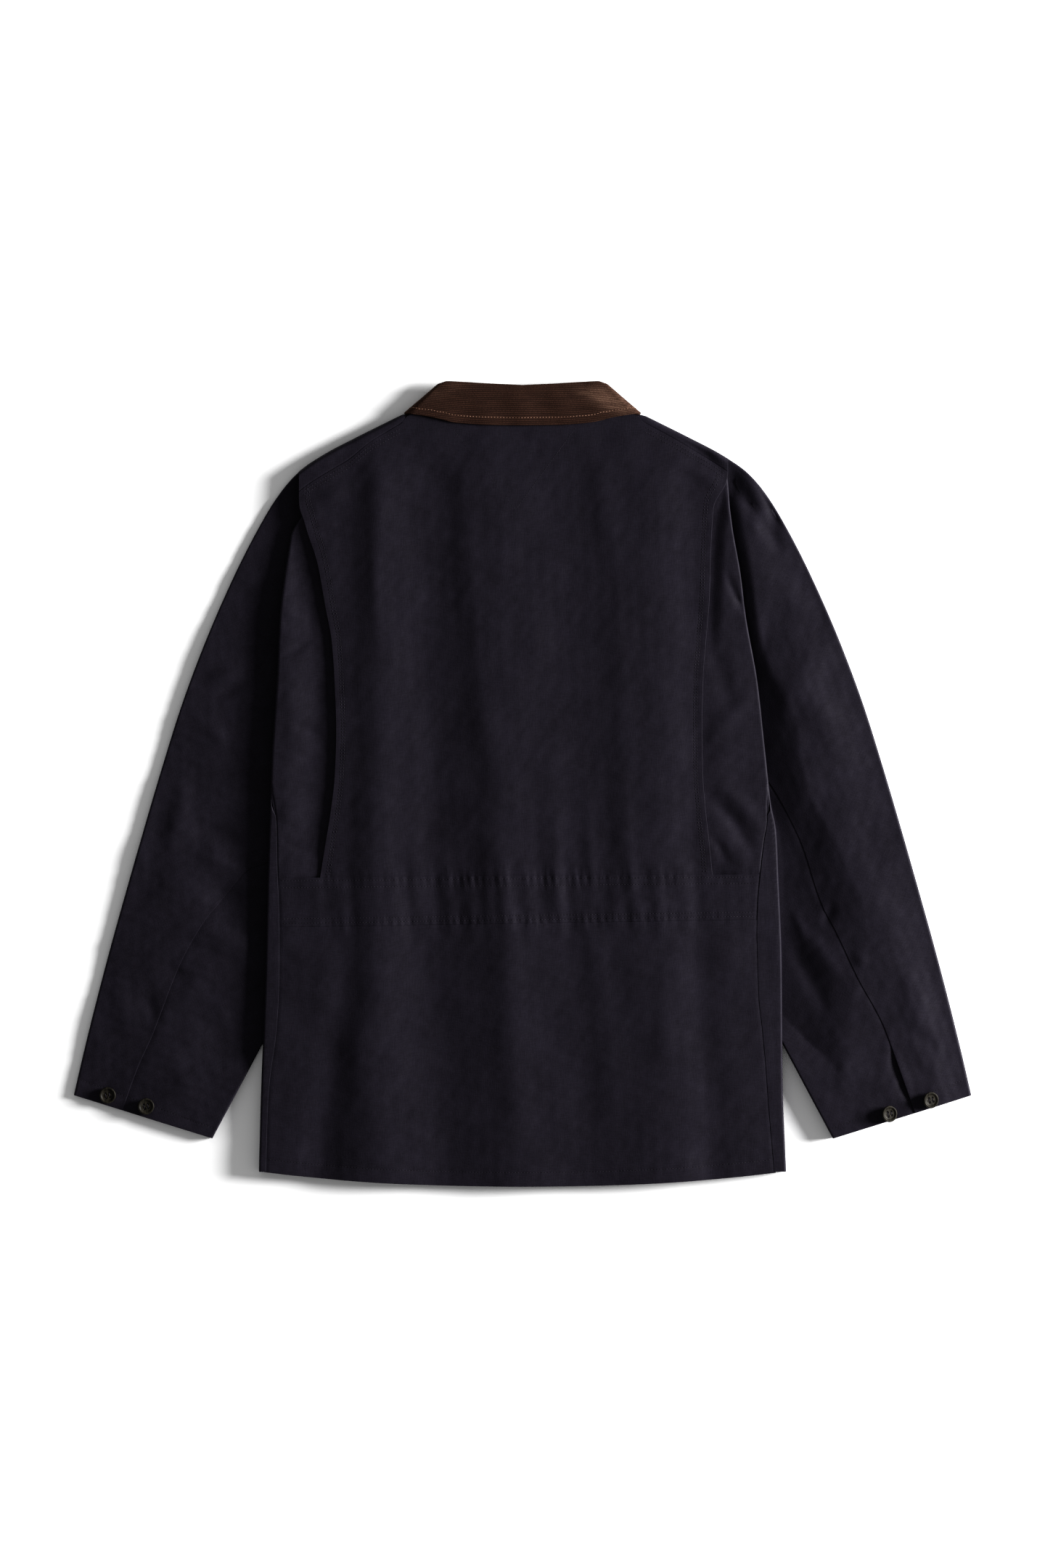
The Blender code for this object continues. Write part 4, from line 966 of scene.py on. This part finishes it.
def cloth(name, surface, across, along, grooves=(), lean=0.0, wall=WALL, slot="waxed_cotton"):
    """A closed wall about the grid surface(u, v): two skins half a wall off the middle along its normals,
    thinned to a round rim, with a strip of faces round the edge. grooves are (axis, place, mm a unit).
    The weave runs along the piece's length, which leans so many radians from +Y."""
    u, v = np.meshgrid(across, along, indexing="ij")
    middle = np.stack(np.broadcast_arrays(*surface(u, v)), axis=-1)
    normal = normals(middle)
    across_run, across_rest = run_lengths(middle, 0)
    along_run, along_rest = run_lengths(middle, 1)
    rim = np.minimum(np.minimum(across_run, across_rest), np.minimum(along_run, along_rest)) / (wall / 2)
    half = wall / 2 * np.maximum(np.sqrt(1 - (1 - np.clip(RIM_SHARP * rim, 0, 1)) ** 2), RIM_LEAST)
    upward = np.where(normal[..., 2:] < 0, -1.0, 1.0)
    for axis, place, scale in grooves:
        distance = ((u, v)[axis] - place) * scale
        middle = middle - (GROOVE * np.exp(-((distance / GROOVE_HALF) ** 2)))[..., None] * normal * upward
    skins = [middle + half[..., None] * normal, middle - half[..., None] * normal]
    points = np.concatenate([skin.reshape(-1, 3) for skin in skins])
    plan = middle[..., :2] @ np.array([[np.cos(lean), np.sin(lean)], [-np.sin(lean), np.cos(lean)]])
    uv = np.tile((plan + FOLD_SHIFT * middle[..., 2:]).reshape(-1, 2), (2, 1))
    count_u, count_v = u.shape
    index = np.arange(count_u * count_v).reshape(count_u, count_v)
    quads = np.stack([index[:-1, :-1], index[1:, :-1], index[1:, 1:], index[:-1, 1:]], axis=-1)
    quads = quads.reshape(-1, 4)
    border = np.concatenate([index[:-1, 0], index[-1, :-1], index[:0:-1, -1], index[0, :0:-1]])
    ahead, other = np.roll(border, -1), count_u * count_v
    edge = np.stack([border, border + other, ahead + other, ahead], axis=-1)
    faces = np.concatenate([quads, quads[:, ::-1] + other, edge])
    piece = mesh_piece(name + "_cloth", points, faces.tolist(), FINISHES[slot], uv)
    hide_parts(name)
    declare_cut(middle)
    return piece


def declare_cut(middle):
    """Its cut is measured on the middle surface: the longest row, the longest column, and the sum of two
    triangles for each face of the grid."""
    width = run_lengths(middle, 0)[0][-1].max() * MM
    length = run_lengths(middle, 1)[0][:, -1].max() * MM
    first = np.cross(middle[1:, :-1] - middle[:-1, :-1], middle[:-1, 1:] - middle[:-1, :-1])
    second = np.cross(middle[:-1, 1:] - middle[1:, 1:], middle[1:, :-1] - middle[1:, 1:])
    area = (np.linalg.norm(first, axis=-1) + np.linalg.norm(second, axis=-1)).sum() / 2 * MM**2
    area = min(area, width * length)


def beads(centre, up, forward, length, radius):
    """Beads of thread at the centres: each a spindle of three rings between two points along forward."""
    sideways = np.cross(up, forward)
    rings = ((-0.5, 0.0, 1), (-0.36, 0.8, SIDES), (0.0, 1.0, SIDES), (0.36, 0.8, SIDES), (0.5, 0.0, 1))
    points, faces = [], []
    for share, size, count in rings:
        for k in range(count):
            angle = 2 * pi * k / SIDES
            off = sideways * np.cos(angle) + up * np.sin(angle)
            points.append(centre + forward * share * length + off * size * radius)
    starts = np.cumsum([0] + [ring[2] for ring in rings])
    for k in range(SIDES):
        after = (k + 1) % SIDES
        faces.append((0, 1 + after, 1 + k, 1 + k))
        for ring in (1, 2):
            a, b = starts[ring], starts[ring + 1]
            faces.append((a + k, a + after, b + after, b + k))
        faces.append((starts[3] + k, starts[3] + after, starts[4], starts[4]))
    block = np.stack(points, axis=1).reshape(-1, 3)
    offsets = np.arange(len(centre))[:, None, None] * len(points)
    return block, (np.array(faces)[None] + offsets).reshape(-1, 4)


def stitches(surface, start, end, wall=WALL, pitch=STITCH_PITCH, length=STITCH_LENGTH, radius=THREAD_R):
    """Beads of thread at each pitch from one (u, v) to another on the surface, half sunk in the cloth."""
    u, v = (np.linspace(first, last, PATH_COUNT) for first, last in zip(start, end))
    path = np.stack(np.broadcast_arrays(*surface(u, v)), axis=-1)
    step_u = np.stack(np.broadcast_arrays(*surface(u + SMALL_STEP, v)), axis=-1) - path
    step_v = np.stack(np.broadcast_arrays(*surface(u, v + SMALL_STEP)), axis=-1) - path
    normal = np.cross(step_u, step_v)
    normal = normal * np.where(normal[:, 2:] < 0, -1, 1)
    normal = normal / np.maximum(np.linalg.norm(normal, axis=1), 1e-12)[:, None]
    path = path + normal * (wall / 2 - GROOVE / 2 + THREAD_LIFT)
    run = np.concatenate([[0], np.cumsum(np.linalg.norm(np.diff(path, axis=0), axis=1))])
    at = np.arange(pitch / 2, run[-1] - pitch / 3, pitch)

    def place(values, where):
        return np.stack([np.interp(where, run, values[:, k]) for k in range(3)], axis=-1)

    forward = place(path, at + length / 2) - place(path, at - length / 2)
    forward /= np.linalg.norm(forward, axis=1)[:, None]
    return beads(place(path, at), place(normal, at), forward, length, radius)


def row_across(surface, ends, row, **kind):
    """Stitches along a row of a piece, between two of its columns."""
    return stitches(surface, (ends[0], row), (ends[1], row), **kind)


def sewing(name, blocks, finish):
    """One piece from many rows of stitches; a face whose last two corners agree is a triangle."""
    points, faces, start = [], [], 0
    for block, quads in blocks:
        points.append(block)
        faces += [tuple(dict.fromkeys(quad)) for quad in (quads + start).tolist()]
        start += len(block)
    return mesh_piece(name, np.concatenate(points), faces, finish)


def linear(colour):
    """An sRGB hex colour as linear light."""
    channels = [int(colour[k:k + 2], 16) / 255 for k in (1, 3, 5)]
    return [c / 12.92 if c <= 0.04045 else ((c + 0.055) / 1.055) ** 2.4 for c in channels] + [1.0]


def feed(tree, node, values):
    """Sets inputs of a node: each value is a number, a colour or the output that feeds the input."""
    for key, value in values.items():
        if isinstance(value, bpy.types.NodeSocket):
            tree.links.new(value, node.inputs[key])
        else:
            node.inputs[key].default_value = value


def add(tree, kind, values, output=0, **settings):
    """Adds a node with its settings and its inputs' values, and returns one of its outputs."""
    made = tree.nodes.new(kind)
    for key, value in settings.items():
        setattr(made, key, value)
    feed(tree, made, values)
    return made.outputs[output]


COLOUR = {"data_type": "RGBA", "output": 2}  # mixes two colours, inputs 6 and 7, by the share in input 0


def new_material(name):
    """An empty finish: the material, its nodes and its shader."""
    made = bpy.data.materials.new(name)
    made.use_nodes = True
    tree = made.node_tree
    return made, tree, tree.nodes["Principled BSDF"]


def mottled(tree, place, spot, detail=2.0, roughness=0.6):
    """Uneven spots of about so many mm along each axis, spread to run from 0 to 1."""
    place = add(tree, "ShaderNodeMapping", {"Vector": place, "Scale": [1 / (size * MM) for size in spot]})
    values = {"Vector": place, "Scale": 1.0, "Detail": detail, "Roughness": roughness}
    cloud = add(tree, "ShaderNodeTexNoise", values)
    return add(tree, "ShaderNodeMapRange", {"Value": cloud, "From Min": 0.3, "From Max": 0.7})


def summed(tree, *parts):
    """The sum of patterns and numbers, each times its weight, which may be a pattern too."""
    total = 0.0
    for pattern, weight in parts:
        total = add(tree, "ShaderNodeMath", {0: pattern, 1: weight, 2: total}, operation="MULTIPLY_ADD")
    return total


def waxed_cotton():
    """Waxed cotton: a tight slubbed weave under a coat of wax. The wax rubs into cloudy lighter and darker
    patches, leaves the cloth half matt, and the uneven threads show as short streaks both ways."""
    made, tree, shader = new_material("Waxed cotton")
    place = add(tree, "ShaderNodeUVMap", {}, uv_map="Cloth")
    clouds = mottled(tree, place, (55.0, 55.0, FLAT), 3.0, 0.55)
    patches = mottled(tree, place, (12.0, 12.0, FLAT), 4.0)
    weft = mottled(tree, place, (7.0, WEFT_PITCH, FLAT))
    warp = mottled(tree, place, (WARP_PITCH, 9.0, FLAT))
    grain = mottled(tree, place, (1.1, 1.1, FLAT))
    weave = summed(tree, (weft, 0.4), (warp, 0.35), (grain, 0.25))
    rubbed = summed(tree, (clouds, 0.5), (patches, 0.5))
    tone = summed(tree, (weave, 0.6), (rubbed, 0.4))
    colour = add(tree, "ShaderNodeMix", {0: tone, 6: linear("#18151b"), 7: linear("#2b2831")}, **COLOUR)
    gloss = add(tree, "ShaderNodeMapRange", {"Value": rubbed, "To Min": 0.66, "To Max": 0.50})
    relief = add(tree, "ShaderNodeBump", {"Height": weave, "Strength": 0.35, "Distance": 0.3 * MM})
    feed(tree, shader, {
        "Base Color": colour,
        "Roughness": gloss,
        "Specular IOR Level": 0.10,
        "Normal": relief,
    })
    return made


def corduroy():
    """Cotton corduroy: ribs of cut pile with bare ground between them. The pile is matt, with a painted
    highlight where it leans to the lamp. The ground down in the grooves is darker, partly its own duller
    colour and partly painted shade."""
    made, tree, shader = new_material("Cotton corduroy")
    place = add(tree, "ShaderNodeUVMap", {}, uv_map="Cloth")
    rib = add(tree, "ShaderNodeAttribute", {}, output="Fac", attribute_name="rib")
    painted_highlight = add(tree, "ShaderNodeAttribute", {}, output="Fac", attribute_name="painted_highlight")
    tufts = mottled(tree, place, (1.8, 0.7, FLAT))
    streaks = mottled(tree, place, (30.0, 3.5, FLAT), 3.0)
    leaning = summed(tree, (tufts, 0.5), (streaks, 0.5))
    # Painted highlight: where it catches the lamp, the pile is mixed towards a lighter colour in uneven
    # streaks
    uneven_highlight = summed(tree, (streaks, 0.6), (1.0, 0.7))
    patch = summed(tree, (painted_highlight, uneven_highlight))
    pile = add(tree, "ShaderNodeMix", {0: leaning, 6: linear("#2c1e19"), 7: linear("#4d362c")}, **COLOUR)
    highlit_pile = add(tree, "ShaderNodeMix", {0: leaning, 6: linear("#4a372f"), 7: linear("#82695a")}, **COLOUR)
    ribs = add(tree, "ShaderNodeMix", {0: patch, 6: pile, 7: highlit_pile}, **COLOUR)
    # Painted shade: the bare ground in the grooves is darker than the pile, partly its own colour and partly
    # shade painted in
    ground = add(tree, "ShaderNodeMix", {0: patch, 6: linear("#231712"), 7: linear("#402f27")}, **COLOUR)
    colour = add(tree, "ShaderNodeMix", {0: rib, 6: ground, 7: ribs}, **COLOUR)
    relief = add(tree, "ShaderNodeBump", {"Height": tufts, "Strength": 0.5, "Distance": 0.3 * MM})
    feed(tree, shader, {
        "Base Color": colour,
        "Roughness": 0.85,
        "Specular IOR Level": 0.12,
        "Sheen Weight": 0.12,
        "Sheen Roughness": 0.4,
        "Sheen Tint": linear("#9a7458"),
        "Normal": relief,
    })
    return made


def thread(name, dark, light):
    """Polyester sewing thread: a smooth twisted filament, half matt, whose colour varies a little."""
    made, tree, shader = new_material(name)
    place = add(tree, "ShaderNodeTexCoord", {}, output="Object")
    tone = mottled(tree, place, (12.0, 12.0, 12.0), roughness=0.5)
    colour = add(tree, "ShaderNodeMix", {0: tone, 6: linear(dark), 7: linear(light)}, **COLOUR)
    feed(tree, shader, {"Base Color": colour, "Roughness": 0.6, "Specular IOR Level": 0.12})
    return made


def horn():
    """Polished buffalo horn: dark grey brown with paler streaks that run through it, and a soft gloss."""
    made, tree, shader = new_material("Buffalo horn")
    place = add(tree, "ShaderNodeTexCoord", {}, output="Object")
    streaks = mottled(tree, place, (2.0, 9.0, FLAT), 3.0)
    colour = add(tree, "ShaderNodeMix", {0: streaks, 6: linear("#12110e"), 7: linear("#302d27")}, **COLOUR)
    relief = add(tree, "ShaderNodeBump", {"Height": streaks, "Strength": 0.15, "Distance": 0.1 * MM})
    feed(tree, shader, {
        "Base Color": colour,
        "Roughness": 0.45,
        "Specular IOR Level": 0.1,
        "Normal": relief,
    })
    return made


def tucked(surface, axis, place, away):
    """The surface with its edge dipped under its neighbour's: from just before the seam line to the line,
    and level past it. away is the mm a unit of the grid line's number, negative towards smaller numbers."""
    def dipped(u, v):
        x, y, z = surface(u, v)
        return x, y, z - TUCK_DIP * ramp(((u, v)[axis] - place) * away, -TUCK_RUN, 0.0)

    return dipped


def button_level(side, x, y):
    """Highest middle of the sleeve's upper wall under a button, found over the patch near the cuff."""
    along, across = np.meshgrid(np.linspace(0.85, 1.0, 61), np.linspace(0.0, 1.0, 141))
    px, py = sleeve_plan(side, along, across)
    level = sleeve_level(side, along, across, px, py)
    return float(level[np.hypot(px - x, py - y) < BUTTON_R + 1.0].max())


def button(name, side, x, y, tilt):
    """A turned four-hole button: its profile carried round, dimpled at the holes, spun and tilted with the
    cloth. Returns the two bars of thread that hold it."""
    rows = np.array(BUTTON_PROFILE)
    share = np.linspace(0, len(rows) - 1, BUTTON_RINGS)
    radius = np.interp(share, np.arange(len(rows)), rows[:, 0]) * BUTTON_R
    height = np.interp(share, np.arange(len(rows)), rows[:, 1]) * BUTTON_THICK
    angle, r = np.meshgrid(np.linspace(0, 2 * pi, BUTTON_SPOKES), radius, indexing="ij")
    px, py = r * np.cos(angle), r * np.sin(angle)
    pz = np.broadcast_to(height, r.shape)
    on_face = np.arange(BUTTON_RINGS)[None, :] < FACE_RINGS
    for dx in (-HOLE_SPACING, HOLE_SPACING):
        for dy in (-HOLE_SPACING, HOLE_SPACING):
            hole = 1 - ramp(np.hypot(px - dx, py - dy), *HOLE_EDGE)
            pz = pz - np.where(on_face, HOLE_DEPTH * hole, 0.0)
    lean = np.array([[np.cos(tilt), 0, np.sin(tilt)], [0, 1, 0], [-np.sin(tilt), 0, np.cos(tilt)]])
    turned = np.array([[np.cos(BUTTON_SPIN), -np.sin(BUTTON_SPIN), 0],
                       [np.sin(BUTTON_SPIN), np.cos(BUTTON_SPIN), 0], [0, 0, 1]])
    pose = lean @ turned
    foot = button_level(side, x, y) + WALL / 2 + GAP
    centre = np.array([side * x, y, foot + BUTTON_RAISE * BUTTON_R * abs(np.sin(tilt))])
    points = np.stack([px, py, pz], axis=-1).reshape(-1, 3) @ pose.T + centre
    index = np.arange(r.size).reshape(r.shape)
    quads = np.stack([index[:-1, :-1], index[:-1, 1:], index[1:, 1:], index[1:, :-1]], axis=-1)
    quads = quads.reshape(-1, 4)
    piece = mesh_piece(name + "_turned", points, quads.tolist(), FINISHES["horn_button"])
    joined = bmesh.new()
    joined.from_mesh(piece.data)
    bmesh.ops.remove_doubles(joined, verts=joined.verts, dist=1e-6)
    bmesh.ops.recalc_face_normals(joined, faces=joined.faces)
    joined.to_mesh(piece.data)
    joined.free()
    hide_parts(name)
    bars = np.array([[-HOLE_SPACING, 0, BUTTON_BAR_Z], [HOLE_SPACING, 0, BUTTON_BAR_Z]]) @ pose.T + centre
    up, forward = (np.tile(pose @ axis, (2, 1)) for axis in ([0, 0, 1.0], [0, 1.0, 0]))
    return beads(bars, up, forward, BUTTON_BAR_LENGTH, BUTTON_THREAD_R)


FINISHES = {"waxed_cotton": waxed_cotton(), "corduroy": corduroy(), "horn_button": horn()}
THREAD = thread("Polyester thread", "#242127", "#36333a")
COLLAR_THREAD = thread("Polyester thread, brown", "#5a4438", "#8a6f60")
sewn = []

# Fronts, pleat layers and sleeves
for word, side in (("left", -1), ("right", 1)):
    # Two columns on the fronts stand close on each side of where they start to turn over the shoulder
    corner = np.array([FOLD_START - 0.5, FOLD_START + 0.5]) / shoulder_end(side) * SIDE_FOLD_U
    across = grid(FRONT_ACROSS)
    across = np.unique(np.append(across[(across < corner[0]) | (across > corner[1])], corner))
    cloth(f"front_{word}", front(side), across, grid(FRONT_ALONG))
    cloth(f"back_side_{word}", back_side(side), grid(PLEAT_ACROSS), grid(PLEAT_ALONG))
    for part, columns in (("top", TOP_ACROSS), ("under", UNDER_ACROSS)):
        surface = sleeve(side, part == "top")
        cloth(f"sleeve_{word}_{part}", surface, grid(columns), grid(SLEEVE_ALONG, [CUFF_ROW]),
              [(1, CUFF_ROW, SLEEVE_LONG)], side * SLEEVE_LEAN)
        sewn.append(row_across(surface, CUFF_ENDS, CUFF_ROW, radius=CUFF_THREAD_R))

# Overlay, with its topstitched edges, the rows below the shoulders and the lining's V
cloth("back_panel", tucked(back_panel, 1, 0.0, -PANEL_LONG), grid(PANEL_ACROSS, PANEL_ROWS),
      grid(PANEL_ALONG), [(0, row, PANEL_HALF) for row in PANEL_ROWS])
for row in PANEL_ROWS:
    sewn.append(stitches(back_panel, (row, PANEL_ENDS[0]), (row, PANEL_ENDS[1])))
for inset in YOKE_INSETS:
    for side in (-1, 1):
        ends = side * YOKE_START / shoulder_end(side), side * YOKE_END
        sewn.append(row_across(back_panel, ends, 1 - inset / YOKE_LONG))
for x0, y0, x1, y1, radius in LINING_LINES:
    sewn.append(stitches(on_back, (x0, y0), (x1, y1), pitch=LINING_PITCH, radius=radius))

# Casing and skirt: both run on under their neighbours at their sides, and the skirt under the casing too
band = across_back(waist_low_y, GAP / 2, waist_top_y)
cloth("waistband", tucked(tucked(band, 0, 0.0, -BAND_WIDE), 0, 1.0, BAND_WIDE), grid(BAND_ACROSS),
      grid(BAND_ALONG, BAND_ROWS), [(1, row, BAND_LONG) for row in BAND_ROWS])
for row in BAND_ROWS:
    sewn.append(row_across(band, BAND_ENDS, row))
skirt = tucked(across_back(hem_y, 0.0, waist_low_y), 1, 1.0, SKIRT_LONG)
skirt = tucked(tucked(skirt, 0, 0.0, -SKIRT_WIDE), 0, 1.0, SKIRT_WIDE)
cloth("back_skirt", skirt, grid(SKIRT_ACROSS), grid(SKIRT_ALONG, [HEM_ROW]), [(1, HEM_ROW, SKIRT_LONG)])
sewn.append(row_across(skirt, HEM_ENDS, HEM_ROW, radius=HEM_THREAD_R))

# Collar
fall = ribbed(collar(COLLAR_FALL, CORD_WALL, 0.0, WALL / 2 + GAP + CORD_WALL / 2))
around = np.unique(np.concatenate([
    np.linspace(-1, -COLLAR_CORNER_U, LEAF_COLUMNS),
    np.linspace(-COLLAR_CORNER_U, COLLAR_CORNER_U, FALL_COLUMNS),
    np.linspace(COLLAR_CORNER_U, 1, LEAF_COLUMNS),
]))
mark_pile(cloth("collar_fall", fall, around, grid(FALL_ALONG), wall=CORD_WALL, slot="corduroy"))
collar_row = row_across(fall, COLLAR_ENDS, COLLAR_ROW, wall=CORD_WALL, radius=COLLAR_THREAD_R)
stand = collar(COLLAR_STAND, WALL, CORD_WALL + GAP, STAND_DROP)
columns = np.linspace(-1, 1, STAND_COLUMNS)
mark_pile(cloth("collar_stand", stand, columns, grid(STAND_ALONG), slot="corduroy"))

# Buttons, and all the thread
for name, side, x, y, tilt in BUTTONS:
    sewn.append(button(name, side, x, y, radians(tilt)))
sewing("stitching", sewn, THREAD)
sewing("collar_stitching", [collar_row], COLLAR_THREAD)

# Floor: matt white paper
paper, tree, shader = new_material("White paper backdrop")
feed(tree, shader, {"Base Color": linear("#f7f7f7"), "Roughness": 0.9, "Specular IOR Level": 0.1})
corners = [(x * FLOOR_HALF, y * FLOOR_HALF, -FLOOR_DROP) for x, y in ((-1, -1), (1, -1), (1, 1), (-1, 1))]
floor_mesh = bpy.data.meshes.new("floor")
floor_mesh.from_pydata(corners, [], [(0, 1, 2, 3)])
floor_mesh.materials.append(paper)
floor = bpy.data.objects.new("floor", floor_mesh)
scene = bpy.context.scene
scene.collection.objects.link(floor)

# Light: a round lamp low over the floor on the right, and a white world as fill
scene.world = bpy.data.worlds.new("Studio")
scene.world.use_nodes = True
feed(scene.world.node_tree, scene.world.node_tree.nodes["Background"],
     {"Color": linear("#ffffff"), "Strength": FILL})
scene.view_settings.view_transform = "Standard"
scene.view_settings.look = "High Contrast"
key_data = bpy.data.lights.new("Key", "AREA")
key_data.shape, key_data.size, key_data.energy = "DISK", KEY_SIZE, KEY_POWER
key = bpy.data.objects.new("Key", key_data)
key.location = KEY_PLACE
key.rotation_euler = Vector(KEY_PLACE).to_track_quat("Z", "Y").to_euler()
scene.collection.objects.link(key)

# Camera: straight above
camera_data = bpy.data.cameras.new("Camera")
camera_data.lens, camera_data.sensor_width = LENS, SENSOR
camera = bpy.data.objects.new("Camera", camera_data)
camera.location = (0.0, 0.0, VIEW_HEIGHT * LENS / SENSOR)
scene.collection.objects.link(camera)
scene.camera = camera
